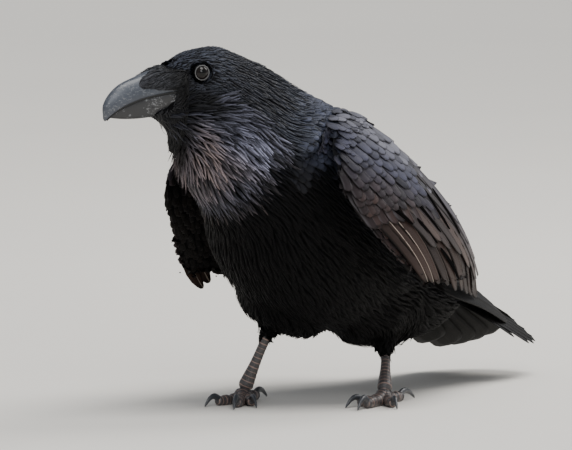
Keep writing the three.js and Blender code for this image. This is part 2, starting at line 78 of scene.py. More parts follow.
# a smooth run through a few points, sampled at shares from 0 to 1
def smoothRun(points, shares):
    given = np.array(points, float).reshape(len(points), -1)
    given = np.vstack([2 * given[0] - given[1], given, 2 * given[-1] - given[-2]])
    place = np.clip(np.asarray(shares, float), 0, 1) * (len(points) - 1)
    first = np.minimum(place.astype(int), len(points) - 2)
    part = (place - first)[:, None]
    a, b, c, d = (given[first + i] for i in range(4))
    bend = (2 * a - 5 * b + 4 * c - d) * part**2 + (3 * b - a - 3 * c + d) * part**3
    return 0.5 * (2 * b + (c - a) * part + bend)


def unit(vectors):
    return vectors / np.maximum(np.linalg.norm(vectors, axis=-1, keepdims=True), 1e-9)


def ramp(values, low, high):  # 0 below low, 1 above high, and smooth between
    share = np.clip((values - low) / (high - low), 0, 1)
    return share * share * (3 - 2 * share)


class Socket:
    # wraps a node's output, so that maths on it is written as plain expressions
    def __init__(self, sheet, link):
        self.sheet, self.link = sheet, link

    def maths(self, operation, first, second):
        return self.sheet.add("ShaderNodeMath", {"operation": operation}, {0: first, 1: second})

    def __add__(self, other):
        return self.maths("ADD", self, other)

    def __radd__(self, other):
        return self.maths("ADD", other, self)

    def __sub__(self, other):
        return self.maths("SUBTRACT", self, other)

    def __rsub__(self, other):
        return self.maths("SUBTRACT", other, self)

    def __mul__(self, other):
        return self.maths("MULTIPLY", self, other)

    def __rmul__(self, other):
        return self.maths("MULTIPLY", other, self)

    def __gt__(self, other):
        return self.maths("GREATER_THAN", self, other)

    def __lt__(self, other):
        return self.maths("LESS_THAN", self, other)

    def __abs__(self):
        return self.maths("ABSOLUTE", self, 0)


class Finish:
    # one material, its Principled shader and the nodes that feed it
    def __init__(self, name, **sockets):
        self.material = bpy.data.materials.new(name)
        self.material.use_nodes = True
        self.nodes, self.links = self.material.node_tree.nodes, self.material.node_tree.links
        self.shader = self.nodes["Principled BSDF"]
        self.set(**sockets)

    def add(self, kind, settings=None, sockets=None, out=0):
        node = self.nodes.new(kind)
        for name, value in (settings or {}).items():
            if name == "stops":
                while len(node.color_ramp.elements) < len(value):
                    node.color_ramp.elements.new(0.5)
                for element, (place, colour) in zip(node.color_ramp.elements, value):
                    element.position, element.color = place, (*colour, 1)
            else:
                setattr(node, name, value)
        for name, value in (sockets or {}).items():
            self.plug(node.inputs[name], value)
        return Socket(self, node.outputs[out])

    def plug(self, entry, value):
        if isinstance(value, Socket):
            self.links.new(value.link, entry)
        elif isinstance(value, (tuple, list)) and entry.type == "RGBA":
            entry.default_value = (*value[:3], 1)
        else:
            entry.default_value = value

    def set(self, **sockets):
        for name, value in sockets.items():
            self.plug(self.shader.inputs[name.replace("_", " ")], value)

    def mix(self, share, first, second):
        return self.add("ShaderNodeMix", {"data_type": "RGBA"}, {0: share, 6: first, 7: second}, 2)

    def noise(self, where, scale, detail=3, roughness=0.55):
        settings = {"Vector": where, "Scale": scale, "Detail": detail, "Roughness": roughness}
        return self.add("ShaderNodeTexNoise", None, settings)

    def wave(self, turns):  # 0 to 1 and back, once for each whole number
        return self.add("ShaderNodeMath", {"operation": "SINE"}, {0: turns * (2 * math.pi)}) * 0.5 + 0.5

    def bump(self, height, distance, strength=1.0):
        sockets = {"Height": height, "Distance": distance, "Strength": strength}
        self.set(Normal=self.add("ShaderNodeBump", None, sockets))


def objectPlace(finish):
    return finish.add("ShaderNodeTexCoord", None, None, 3)


# Points along the middle of the body, from the bill's root to the tail's, and how thick the coat is
# over and under them.
spine = {
    "points": [
        (-40, -176, 261), (-31, -159, 264), (-23.3, -145.4, 261), (-21, -134, 254), (-15.4, -115.6, 237),
        (-7.2, -99, 218), (0, -78, 201), (0, -50.5, 175), (0, -16.5, 147), (0, 18, 122), (0, 55, 105),
        (0, 91.5, 91), (0, 123, 79.5), (0, 151, 73), (0, 179, 70),
    ],
    "over": [0.7, 2.2, 3.8, 3.2, 0.8, 0.3, 0.4, 1.8, 3, 3, 3, 3, 3, 3, 3],
    "under": [0.5, 0.9, 1.8, 4.0, 7.5, 9, 7, 6, 7, 8.5, 9, 8.5, 7, 6, 4],
    "samples": 280,
}
spineShares = np.linspace(0, 1, spine["samples"])
spineLine = smoothRun([bird(*p) for p in spine["points"]], spineShares)
spineWay = unit(np.gradient(spineLine, axis=0))
spineUp = unit(np.array(up) - spineWay * spineWay[:, 2:3])
spineLength = np.concatenate([[0], np.cumsum(np.linalg.norm(np.diff(spineLine, axis=0), axis=1))])


# where points are along the body, 0 to 1, and how far under it, -1 on top to 1 below, and to its left
def bodyPlace(points):
    nearest = np.empty(len(points), int)
    for start in range(0, len(points), 4000):
        gaps = points[start:start + 4000, None] - spineLine[None]
        nearest[start:start + 4000] = np.argmin((gaps**2).sum(2), axis=1)
    out = unit(points - spineLine[nearest])
    side = np.cross(spineWay[nearest], spineUp[nearest])
    return nearest, -(out * spineUp[nearest]).sum(1), -(out * side).sum(1)


legs = {
    "left": {"foot": (50, 27, 10), "ankle": (27, 66, 46), "top": (36, 34, 108), "toes": 12, "hind": 182},
    "right": {"foot": (-50, -27, 10), "ankle": (-29, -18, 63), "top": (-34, 6, 112), "toes": 26, "hind": 190},
}


def nearLeg(points):  # how much each point belongs to a leg, and the way down that leg
    share = np.zeros(len(points))
    way = np.zeros((len(points), 3))
    for leg in legs.values():
        top, ankle = np.array(bird(*leg["top"])), np.array(bird(*leg["ankle"]))
        foot = np.array(bird(*leg["foot"]))
        along = ankle - top
        t = np.clip(((points - top) @ along) / (along @ along), 0, 1)
        distance = np.linalg.norm(points - top - t[:, None] * along, axis=1)
        belongs = ramp(t, 0.3, 0.75) * (1 - ramp(distance, 0.03, 0.045))
        stronger = belongs > share
        down = unit(along[None] * (1 - 0.5 * t[:, None]) + (foot - ankle)[None] * 0.5 * t[:, None])
        share = np.where(stronger, belongs, share)
        way = np.where(stronger[:, None], down, way)
    return share, way


def headPlace(points):  # forward, left and high of the head's middle, in millimetres
    gaps = (points - np.array(headZero)) / mm
    return gaps @ np.array(headForward), gaps @ np.array(headLeft), gaps[:, 2]


# the throat's hackles spread out from the chin
# dark and bright are distances from the chin, in millimetres, where the painted sheen on the hackles begins
# and where it fades out again
chin = {"place": onHead(27, 0, -31), "reach": (0.2, 0.34), "dark": (62, 30), "bright": (122, 98)}


# red is painted sheen, the silvery blue of light glancing off the gloss, strongest on the crown, back and
# throat hackles. Green is the brown tinge, blue the depth of the black, which is partly painted shade in the
# crease behind the gape and under the cheek.
def markings(points):
    nearest, below, left = bodyPlace(points)
    share = spineShares[nearest]
    front, aside, high = headPlace(points)
    fromChin = np.linalg.norm(points - np.array(chin["place"]), axis=1) / mm
    head = 1 - ramp(share, 0.2, 0.27)
    low = ramp(below, 0.3, 0.75)
    start = chin["dark"][0] + (chin["dark"][1] - chin["dark"][0]) * low
    end = chin["bright"][0] + (chin["bright"][1] - chin["bright"][0]) * low
    throat = ramp(fromChin, start, start + 26) * (1 - ramp(fromChin, end - 22, end))
    throat = throat * ramp(below, -0.12, 0.14) * (1 - ramp(share, 0.37, 0.42))
    back = ramp(share, 0.3, 0.42) * (1 - ramp(below, -0.4, 0.1))
    belly = ramp(share, 0.36, 0.45) * ramp(below, -0.25, 0.3)
    # painted highlight and shade: the crown is lighter on top, where the light falls from above, and the belly
    # underneath keeps almost no sheen
    crown = head * ramp(-below, 0.1, 0.7) * (1 - ramp(share, 0.14, 0.24))
    sheen = 0.32 + 0.08 * head + 0.5 * crown + 0.5 * back * (1 - 0.4 * ramp(share, 0.5, 0.75))
    sheen = (sheen + 0.9 * throat * (1 - 0.55 * low)) * (1 - 0.9 * belly)
    brown = 0.75 * throat * low + 0.2 * belly
    # lores, gape and under take away the painted sheen and darken the colour; gape is painted shade in the
    # crease behind the gape, under is painted shade in the band under the cheek
    lores = ramp(front, 1, 9) * (1 - ramp(high, 1.5, 4)) * ramp(high, -14, -10)
    gape = ramp(front, 2, 6) * (1 - ramp(front, 9, 14)) * (1 - ramp(high, -14, -11))
    under = ramp(below, -0.05, 0.15) * (1 - ramp(fromChin, start - 12, start + 4))
    dark = np.clip(np.maximum(np.maximum(lores, gape), under), 0, 1)
    return np.stack([sheen * (1 - 0.92 * dark), brown * (1 - 0.8 * dark), dark, np.ones(len(points))], axis=1)


def finishPiece(mesh, name, material, nodes=()):
    mesh.materials.clear()
    mesh.materials.append(material)
    mesh.polygons.foreach_set("use_smooth", [True] * len(mesh.polygons))
    piece = bpy.data.objects.new(name, mesh)
    bpy.context.scene.collection.objects.link(piece)
    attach(piece, "root")
    for node in nodes:
        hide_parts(node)
    return piece


def meshOf(form, name):
    mesh = bpy.data.meshes.new(name)
    form.to_mesh(mesh)
    form.free()
    return mesh


# the next ring of a loft, grown from the edges of the last one
def nextRing(form, ring):
    edges = [form.edges.get(pair) for pair in zip(ring, ring[1:] + ring[:1])]
    grown = bmesh.ops.extrude_edge_only(form, edges=edges)["geom"]
    made = {v for v in grown if isinstance(v, bmesh.types.BMVert)}
    return [next(e.other_vert(v) for e in v.link_edges if e.other_vert(v) in made) for v in ring]


# a closed solid through rings of points
def loftRings(rings, form=None):
    form = form or bmesh.new()
    ring = bmesh.ops.create_circle(form, segments=len(rings[0]), radius=1)["verts"]
    whole = list(ring)
    for number, points in enumerate(rings):
        if number:
            ring = nextRing(form, ring)
            whole += ring
        for vert, point in zip(ring, points):
            vert.co = point
        if number in (0, len(rings) - 1):
            form.faces.new(ring)
    bmesh.ops.recalc_face_normals(form, faces=list({f for v in whole for f in v.link_faces}))
    return form


# a limb through rings, where size(share, angle) gives the radius all the way round
def limb(points, rings, sides, size, seam=(0.31, 0.95, 0), wide=1.0):
    shares = np.linspace(0, 1, rings)
    line = smoothRun(points, shares)
    ways = unit(np.gradient(line, axis=0))
    made = []
    for share, point, way in zip(shares, line, ways):
        side = Vector(way).cross(Vector(seam)).normalized()
        other = Vector(way).cross(side)
        ring = []
        for j in range(sides):
            a = 2 * math.pi * j / sides
            radius = size(share, a) * mm
            ring.append(Vector(point) + side * math.cos(a) * radius * wide + other * math.sin(a) * radius)
        made.append(ring)
    return loftRings(made)


# a lump of overlapping solids, made one closed skin with even faces
def remeshed(form, voxel):
    lump = bpy.data.objects.new("lump", meshOf(form, "lump"))
    bpy.context.scene.collection.objects.link(lump)
    remesh = lump.modifiers.new("melt", "REMESH")
    remesh.mode, remesh.voxel_size = "VOXEL", voxel
    shaped = lump.evaluated_get(bpy.context.evaluated_depsgraph_get())
    solid = bpy.data.meshes.new_from_object(shaped)
    bpy.data.objects.remove(lump)
    form = bmesh.new()
    form.from_mesh(solid)
    return form


def relax(form, verts, passes):
    everyWay = {"use_axis_x": True, "use_axis_y": True, "use_axis_z": True}
    for _ in range(passes):
        bmesh.ops.smooth_vert(form, verts=verts, factor=0.5, **everyWay)


# merged copies of the model's own nodes, cut off past a plane, and melted
def melted(nodes, voxel, passes, point, normal):
    form = bmesh.new()
    for node in nodes:
        form.from_mesh(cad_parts[node].data)
    bmesh.ops.remove_doubles(form, verts=form.verts, dist=0.01 * mm)
    whole = list(form.verts) + list(form.edges) + list(form.faces)
    cut = bmesh.ops.bisect_plane(form, geom=whole, plane_co=point, plane_no=normal, clear_outer=True)
    rim = [e for e in cut["geom_cut"] if isinstance(e, bmesh.types.BMEdge)]
    bmesh.ops.holes_fill(form, edges=rim)
    form = remeshed(form, voxel)
    relax(form, form.verts, passes)
    form.normal_update()
    return form


# a surface that feathers grow on: its search tree, and its faces for scattering roots
def surfaceOf(form):
    form.verts.ensure_lookup_table()
    form.faces.ensure_lookup_table()
    points = np.array([v.co for v in form.verts])
    corners = np.array([[v.index for v in f.verts][:4] for f in form.faces if len(f.verts) == 4])
    triangles = np.vstack([corners[:, [0, 1, 2]], corners[:, [0, 2, 3]]])
    a, b, c = (points[triangles[:, i]] for i in range(3))
    cross = np.cross(b - a, c - a)
    return {
        "tree": BVHTree.FromBMesh(form),
        "corners": (a, b, c),
        "areas": np.linalg.norm(cross, axis=1) / 2,
        "middles": (a + b + c) / 3,
        "normals": unit(cross),
    }


# roots about one spacing apart, on the chosen faces
def scatter(surface, spacing, chosen):
    a, b, c = (corner[chosen] for corner in surface["corners"])
    areas = surface["areas"][chosen]
    tries = int(areas.sum() / (spacing * mm) ** 2 * 7)
    face = chance.choice(len(areas), tries, p=areas / areas.sum())
    u, v = chance.random((2, tries, 1))
    u, v = np.where(u + v > 1, 1 - u, u), np.where(u + v > 1, 1 - v, v)
    points = a[face] + u * (b[face] - a[face]) + v * (c[face] - a[face])
    tree = KDTree(tries)
    for i, point in enumerate(points):
        tree.insert(point, i)
    tree.balance()
    free = np.ones(tries, bool)
    roots = []
    for i, point in enumerate(points):
        if free[i]:
            roots.append(i)
            for _, j, _ in tree.find_range(point, spacing * mm):
                free[j] = False
    return points[roots], surface["normals"][chosen][face[roots]]


def turned(ways, normals, angles):  # each way turned about its normal
    across = np.cross(normals, ways)
    return ways * np.cos(angles)[:, None] + across * np.sin(angles)[:, None]


# the lie of the body's feathers: along the spine, and down the legs
def bodyLie(points, normals):
    nearest, below, left = bodyPlace(points)
    way = spineWay[nearest]
    spread = (ramp(below, -0.3, 0.2) * (1 - ramp(spineShares[nearest], *chin["reach"])))[:, None]
    way = way * (1 - spread) + unit(points - np.array(chin["place"])) * spread
    share, down = nearLeg(points)
    way = way * (1 - share[:, None]) + down * share[:, None]
    return unit(way - normals * (way * normals).sum(1, keepdims=True))


# A vane's section from its right edge over its shaft to its left edge and back underneath.
sections = {
    "tuft": [(1, 0), (0, 1), (-1, 0), (0, -0.5)],
    "scale": [(1, 0), (0.55, 0.8), (0, 1), (-0.55, 0.8), (-1, 0), (0, -0.4)],
    "plume": [
        (1, 0), (0.8, 0.5), (0.42, 0.8), (0.09, 0.9), (0.035, 2.2), (-0.035, 2.2), (-0.09, 0.9),
        (-0.42, 0.8), (-0.8, 0.5), (-1, 0), (-0.5, -0.4), (0, -0.8), (0.5, -0.4),
    ],
}


# Each shape is closed, and made once: places of its rings along it, and its half width at each.
def vaneShape(section, along, outline):
    rings = [[(x * half, row, z) for x, z in sections[section]] for row, half in enumerate(outline)]
    form = loftRings(rings)
    form.verts.index_update()
    points = np.array([v.co for v in form.verts])
    faces = [[v.index for v in f.verts] for f in form.faces]
    form.free()
    return {
        "along": np.array(along, float),
        "x": points[:, 0],
        "row": np.rint(points[:, 1]).astype(int),
        "z": points[:, 2],
        "loops": np.array([i for f in faces for i in f]),
        "sizes": np.array([len(f) for f in faces]),
    }


# follow the surface from each root along the lie, for a vane's whole length
def trace(tree, roots, ways, lengths, shape):
    along = shape["along"]
    lines = np.zeros((len(roots), len(along), 3))
    normals = np.zeros_like(lines)
    steps = np.diff(along, append=along[-1])
    for i in range(len(roots)):
        point, way = Vector(roots[i]), Vector(ways[i])
        for row, step in enumerate(steps):
            near, normal, _, _ = tree.find_nearest(point)
            lines[i, row], normals[i, row] = near, normal
            way = (way - normal * way.dot(normal)).normalized()
            point = near + way * step * lengths[i]
    return lines, normals


# raise traced lines off the surface, and let stiff ones leave it in a straight line
def raised(lines, normals, ways, lengths, shape, low, high, stiff=0.0):
    along = shape["along"][None, :, None]
    straight = lines[:, :1] + ways[:, None] * along * lengths[:, None, None]
    lines = lines + (straight - lines) * stiff * along**2
    normals = unit(normals[:, :1] * stiff * 0.5 + normals * (1 - stiff * 0.5))
    return lines + normals * (low + (high - low) * along), normals


# one joined mesh of many vanes
def layVanes(name, shape, lines, normals, widths, thick, camber, finish, marks, bake,
             nodes=(), roll=0.0, skew=0.0):
    tangents = unit(np.gradient(lines, axis=1))
    across = unit(np.cross(tangents, normals))
    normals = np.cross(across, tangents)
    if np.any(roll):
        angle = np.broadcast_to(np.asarray(roll, float), (len(lines),))[:, None, None]
        cosine, sine = np.cos(angle), np.sin(angle)
        across, normals = across * cosine + normals * sine, normals * cosine - across * sine
    row, x, z = shape["row"], shape["x"], shape["z"]
    half = widths[:, None] / 2
    reach = (half * (x + skew * x * x))[..., None]
    lift = (z * thick / 2 - camber * half * x * x)[..., None]
    points = (lines[:, row] + across[:, row] * reach + normals[:, row] * lift).reshape(-1, 3)
    count, size = len(lines), len(x)
    loops = (shape["loops"][None] + np.arange(count)[:, None] * size).ravel()
    sizes = np.tile(shape["sizes"], count)
    mesh = bpy.data.meshes.new(name)
    mesh.vertices.add(len(points))
    mesh.vertices.foreach_set("co", points.ravel())
    mesh.loops.add(len(loops))
    mesh.loops.foreach_set("vertex_index", loops)
    mesh.polygons.add(len(sizes))
    mesh.polygons.foreach_set("loop_start", np.concatenate([[0], np.cumsum(sizes)[:-1]]))
    mesh.polygons.foreach_set("loop_total", sizes)
    vane = np.stack([np.broadcast_to(x * 0.5 + 0.5, (count, size)),
                     np.broadcast_to(shape["along"][row], (count, size))], axis=2).reshape(-1, 2)
    patch = np.repeat(bake["at"], size, axis=0) + (vane - 0.5) * np.repeat(bake["size"], size, axis=0)
    for layer, values in (("OFBake", patch), ("Vane", vane)):
        mesh.uv_layers.new(name=layer).data.foreach_set("uv", values[loops].ravel())
    mesh.uv_layers["OFBake"].active_render = True
    mesh.uv_layers["OFBake"].active = True
    marked = np.repeat(marks, size, axis=0)
    mesh.attributes.new("mark", "FLOAT_COLOR", "POINT").data.foreach_set("color", marked.ravel())
    tone = np.repeat(chance.random(count), size)
    mesh.attributes.new("tone", "FLOAT", "POINT").data.foreach_set("value", tone)
    mesh.update(calc_edges=True)
    mesh.validate()
    piece = finishPiece(mesh, name, finish, nodes)
    print(f"  {name}: {count} vanes, {int((sizes - 2).sum())} triangles")
    return piece


# where roots lie on an unwrap of the body's own shape: along the spine, and around it
def bodyBake(points):
    nearest, below, left = bodyPlace(points)
    around = np.arctan2(left, below) / (2 * math.pi) + 0.5
    at = np.stack([0.02 + 0.96 * spineLength[nearest] / spineLength[-1], 0.02 + 0.96 * around], axis=1)
    return {"at": at, "size": np.full((len(points), 2), 0.003)}


# the plumage's colour from its marks: black, painted sheen in silvery blue where light would glance off the
# gloss, brown where it is worn
def plumageColour(finish, marks, tone, black, paintedSheen, brown, vary=0.65):
    parts = finish.add("ShaderNodeSeparateColor", None, {"Color": marks})
    green = Socket(finish, parts.link.node.outputs[1])
    depth = (1 - vary) + vary * tone
    colour = finish.mix(parts * depth, black, paintedSheen)
    return finish.mix(green * depth, colour, brown)


# barbs is how many dark strands cross a vane, and deep how much painted shade darkens its root, where the next
# feather would cover it
def plumage(name, black, paintedSheen, brown, roughness, barbs, shaft=0.0, rim=0.0, light=0.0, shine=0.3,
            contrast=0.3, deep=0.5, vary=0.65):
    finish = Finish(name, Specular_IOR_Level=shine)
    marks = finish.add("ShaderNodeAttribute", {"attribute_name": "mark"})
    tone = finish.add("ShaderNodeAttribute", {"attribute_name": "tone"}, None, 2)
    vane = finish.add("ShaderNodeUVMap", {"uv_map": "Vane"})
    u = finish.add("ShaderNodeSeparateXYZ", None, {"Vector": vane})
    v = Socket(finish, u.link.node.outputs[1])
    side = abs(u - 0.5) * 2
    colour = plumageColour(finish, marks, tone, black, paintedSheen, brown, vary)
    # painted shade: the root of each vane darkens towards black, where the feather above would cover it
    colour = finish.mix((1 - v) * deep, colour, (0.002, 0.002, 0.0025))
    strands = finish.wave(v * barbs - side * (barbs * 0.3) + finish.noise(vane, 4) * 1.2)
    colour = finish.mix(strands * contrast, colour, (0, 0, 0))
    edge = ((side - 0.78) * 4.5) * (side > 0.78) + ((v - 0.93) * 14) * (v > 0.93)
    pale = Socket(finish, finish.nodes["Separate Color"].outputs[2])
    # painted highlight: light lays pale grey over the wing's upper contour, where the marks are pale, and a
    # pale border inside each vane's edges
    if light:
        colour = finish.mix(pale * (0.2 + 0.8 * tone) * 0.6, colour, (0.25, 0.25, 0.285))
        border = ((side - 0.5) * 3) * (side > 0.5) * (side < 0.82)
        colour = finish.mix(border * light, colour, (0.16, 0.155, 0.17))
    # painted shade: rim darkens each vane's sides and tip towards black, standing in for the shade in the gaps
    # between feathers
    if rim:
        colour = finish.mix(edge * rim, colour, (0.002, 0.002, 0.0025))
    if shaft:
        colour = finish.mix((side < 0.05) * (0.12 + 0.88 * pale) * shaft, colour, (0.32, 0.27, 0.23))
    finish.set(Base_Color=colour, Roughness=roughness + 0.1 * strands)
    finish.bump(strands, 0.00012, 0.4)
    return finish.material


def skinFinish():
    finish = Finish("skin under the feathers", Roughness=0.8, Specular_IOR_Level=0.08)
    marks = finish.add("ShaderNodeAttribute", {"attribute_name": "mark"})
    tone = finish.noise(objectPlace(finish), 300)
    black, paintedSheen, brown = (0.002, 0.002, 0.0025), (0.006, 0.006, 0.008), (0.005, 0.004, 0.0035)
    colour = plumageColour(finish, marks, tone, black, paintedSheen, brown)
    finish.set(Base_Color=colour)
    finish.bump(tone, 0.0004, 0.6)
    return finish.material


# How far forward the main skin reaches at each height of the face, in the head's millimetres.
face = {"high": (-40, -35, -31, -16, -12, -4, 2), "reach": (45, 40, 21, 15, 18, 30, 45), "inside": 6}


def billCover(points):  # 1 where the bill covers the skin
    front, aside, high = headPlace(points)
    reach = np.interp(high, face["high"], face["reach"])
    return ramp(front, reach - 3, reach + 1)


# The feathered back fills the space between the trunk and each wing's upper edge.
web = {
    "edge": [
        (50, -104, 200), (61, -86, 212), (56, -64, 229), (51, -40, 240), (50, -20, 239), (52, -5, 232),
        (56, 25, 214), (61, 55, 192), (66, 85, 164), (65, 110, 142), (58, 140, 112),
    ],
    "body": [
        (38, -108, 202), (33, -86, 238), (31, -64, 246), (30, -40, 243), (30, -20, 239), (30, -5, 232),
        (30, 25, 214), (30, 55, 188), (30, 85, 160), (28, 110, 136), (22, 140, 112),
    ],
    "rings": 26, "sides": 12, "thick": (4, 8), "rise": 1.5,
}
webShares = np.linspace(0, 1, 90)
webLine = smoothRun(web["edge"], webShares)
webEdges = np.array([bird(sign * x, y, z) for sign in (1, -1) for x, y, z in webLine])


def nearWebEdge(points):  # millimetres from the upper edge of the nearer wing
    result = np.empty(len(points))
    for start in range(0, len(points), 4000):
        gaps = points[start:start + 4000, None] - webEdges[None]
        result[start:start + 4000] = np.sqrt((gaps**2).sum(2).min(1))
    return result / mm


def makeWeb(sign):
    shares = np.linspace(0, 1, web["rings"])
    edges, bodies = smoothRun(web["edge"], shares), smoothRun(web["body"], shares)
    rings = []
    for share, edge, body in zip(shares, edges, bodies):
        half = (edge - body) / 2
        outward = unit(np.array([-half[2], 0, half[0]]))
        thick = web["thick"][0] + (web["thick"][1] - web["thick"][0]) * math.sin(math.pi * share)
        middle = (edge + body) / 2 + outward * (web["rise"] - thick)
        ring = []
        for j in range(web["sides"]):
            a = 2 * math.pi * j / web["sides"]
            x, y, z = middle + half * math.cos(a) + outward * thick * math.sin(a)
            ring.append(bird(sign * x, y, z))
        rings.append(ring)
    form = loftRings(rings)
    bmesh.ops.recalc_face_normals(form, faces=form.faces)
    return meshOf(form, "web")


skin = {
    "voxel": 2.0 * mm, "passes": 4, "bodyPasses": 10,
    "wingDepth": (1.2, 4.4), "wingEnd": 102, "legDepth": 0.14, "cuff": 0.18,
}


def makeSkin():
    wings = melted(["wing_left", "wing_right"], skin["voxel"], 0, bird(0, skin["wingEnd"], 100), (0, 1, 0))
    form = bmesh.new()
    for node in ("head", "neck", "trunk", "thigh_left", "thigh_right"):
        form.from_mesh(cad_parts[node].data)
    for mesh in (meshOf(wings, "wing beds"), makeWeb(1), makeWeb(-1)):
        form.from_mesh(mesh)
    form = remeshed(form, skin["voxel"])
    relax(form, form.verts, skin["passes"])
    points = np.array([v.co for v in form.verts])
    nearest, below, _ = bodyPlace(points)
    share = spineShares[nearest]
    behindHead = [v for v, s in zip(form.verts, share) if s > 0.2]
    relax(form, behindHead, skin["bodyPasses"])
    covered = billCover(points)
    sideways = (points - np.array(headZero)) @ np.array(headLeft)
    inner = np.clip(sideways, -face["inside"] * mm, face["inside"] * mm)
    for vert, cover, shift in zip(form.verts, covered, inner - sideways):
        vert.co = vert.co + headLeft * float(cover * shift)
    form.normal_update()
    places = np.linspace(0, 1, len(spine["over"]))
    over, under = np.interp(share, places, spine["over"]), np.interp(share, places, spine["under"])
    depth = over + (under - over) * ramp(below, -0.5, 0.6)
    thin, thinner = skin["wingDepth"]
    wingDepth = thin + (thinner - thin) * ramp((points[:, 1] - birdZero.y) / mm, 40, 105)
    depth = np.where(onWing(points), wingDepth, depth)
    legShare, _ = nearLeg(points)
    depth = depth * (1 - (1 - skin["legDepth"]) * legShare)
    for vert, deep in zip(form.verts, depth):
        vert.co = vert.co - vert.normal * float(deep) * mm
    for place in legs.values():  # below its cuff the skin goes in under the shank
        ankle, foot = bird(*place["ankle"]), bird(*place["foot"])
        along = foot - ankle
        for vert in form.verts:
            if (vert.co - ankle).length < 0.045:
                t = (vert.co - ankle).dot(along) / along.length_squared
                axis = ankle + along * t
                tuck = 0.6 * float(ramp(np.array(t), skin["cuff"], skin["cuff"] + 0.16))
                if (vert.co - axis).length < 0.012:
                    vert.co = vert.co.lerp(axis, tuck)
    relax(form, form.verts, 1)
    form.normal_update()
    return form


wingTrees = {}
for wingSide in ("left", "right"):
    wingForm = bmesh.new()
    wingForm.from_mesh(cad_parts["wing_" + wingSide].data)
    bmesh.ops.remove_doubles(wingForm, verts=wingForm.verts, dist=0.01 * mm)
    wingTrees[wingSide] = BVHTree.FromBMesh(wingForm)
    wingForm.free()


def onWing(points):  # whether each point belongs to a wing, not to the flank under it
    result = np.zeros(len(points), bool)
    for i, point in enumerate(points):
        if abs(point[0] - birdZero.x) > 40 * mm:
            side = "left" if point[0] > birdZero.x else "right"
            _, _, _, gap = wingTrees[side].find_nearest(point)
            result[i] = gap < 4.5 * mm
    return result


print("skin")
skinForm = makeSkin()
skinSurface = surfaceOf(skinForm)
skinMesh = meshOf(skinForm, "skin")
skinPoints = np.array([v.co for v in skinMesh.vertices])
skinMarks = skinMesh.attributes.new("mark", "FLOAT_COLOR", "POINT")
skinMarks.data.foreach_set("color", markings(skinPoints).ravel())
skinPiece = finishPiece(
    skinMesh, "skin", skinFinish(),
    ["head", "neck", "trunk", "thigh_left", "thigh_right", "wing_left", "wing_right"],
)
print(f"  skin: {len(skinMesh.polygons)} faces")

shapes = {
    "tiny": vaneShape("tuft", [0, 0.4, 0.8, 1], [0.5, 1, 0.75, 0.12]),
    "strand": vaneShape("tuft", [0, 0.3, 0.7, 1], [0.6, 1, 0.7, 0.04]),
    "hackle": vaneShape("tuft", [0, 0.2, 0.45, 0.7, 0.88, 1], [0.5, 0.95, 1, 0.72, 0.36, 0.03]),
    "contour": vaneShape("scale", [0, 0.3, 0.6, 0.85, 1], [0.5, 0.9, 1, 0.75, 0.15]),
    "round": vaneShape("scale", [0, 0.3, 0.6, 0.8, 0.93, 1], [0.5, 0.9, 1, 0.9, 0.6, 0.14]),
    "covert": vaneShape("plume", [0, 0.2, 0.4, 0.6, 0.78, 0.9, 0.97, 1],
                        [0.5, 0.85, 1, 1, 0.93, 0.72, 0.4, 0.1]),
    "tail": vaneShape("plume", [0, 0.1, 0.25, 0.4, 0.55, 0.7, 0.82, 0.9, 0.95, 0.98, 1],
                      [0.5, 0.8, 0.95, 1, 1, 1, 1, 1, 0.92, 0.7, 0.2]),
    "flight": vaneShape("plume", [0, 0.08, 0.17, 0.28, 0.4, 0.52, 0.64, 0.75, 0.84, 0.91, 0.96, 0.99, 1],
                        [0.3, 0.7, 0.9, 1, 1, 1, 0.98, 0.94, 0.86, 0.72, 0.52, 0.3, 0.08]),
}

# each plumage below is black, then its painted sheen, the silvery blue where light would glance off the gloss,
# then brown
headPlumage = plumage(
    "head feathers", (0.004, 0.004, 0.0055), (0.088, 0.100, 0.138), (0.02, 0.017, 0.015), 0.45, 3,
    shine=0.2, vary=0.9)
bristlePlumage = plumage(
    "bristles", (0.003, 0.003, 0.0035), (0.15, 0.155, 0.180), (0.02, 0.017, 0.015), 0.4, 3,
    shine=0.3, deep=0.4, vary=0.97)
hacklePlumage = plumage(
    "throat hackles", (0.003, 0.0035, 0.004), (0.43, 0.44, 0.60), (0.38, 0.265, 0.21), 0.45, 6,
    rim=0.75, shine=0.15, deep=0.92, vary=0.97)
backPlumage = plumage(
    "back feathers", (0.005, 0.0055, 0.0075), (0.095, 0.108, 0.165), (0.03, 0.026, 0.025), 0.45, 24,
    rim=0.9, shine=0.15, deep=0.6)
bodyPlumage = plumage(
    "body feathers", (0.003, 0.003, 0.0035), (0.024, 0.029, 0.046), (0.012, 0.009, 0.007), 0.55, 6,
    shine=0.08, deep=0.7, vary=0.85)
wingPlumage = plumage(
    "wing coverts", (0.007, 0.007, 0.009), (0.068, 0.074, 0.122), (0.066, 0.039, 0.032), 0.5, 30,
    rim=0.97, light=0.3, shine=0.15, contrast=0.3, deep=0.75, vary=0.8)
shoulderPlumage = plumage(
    "shoulder feathers", (0.010, 0.010, 0.012), (0.19, 0.19, 0.225), (0.115, 0.076, 0.062), 0.45, 36,
    rim=0.97, shine=0.2, contrast=0.3, deep=0.7, vary=0.85)
flightPlumage = plumage(
    "flight feathers", (0.010, 0.008, 0.008), (0.075, 0.066, 0.076), (0.058, 0.032, 0.024), 0.5, 70,
    shaft=0.9, rim=0.97, shine=0.15, contrast=0.45, deep=0.7)
# painted shadow: near-black vanes laid in the slots between the long wing feathers stand in for the shade
# there
gapShade = plumage(
    "painted shadow between feathers", (0.002, 0.002, 0.002), (0.004, 0.004, 0.004), (0.004, 0.003, 0.003), 0.8, 20,
    shine=0.02)
darkPlumage = plumage(
    "shaded feathers", (0.0035, 0.0035, 0.004), (0.02, 0.02, 0.026), (0.012, 0.008, 0.006), 0.5, 40,
    rim=0.5, shine=0.15)

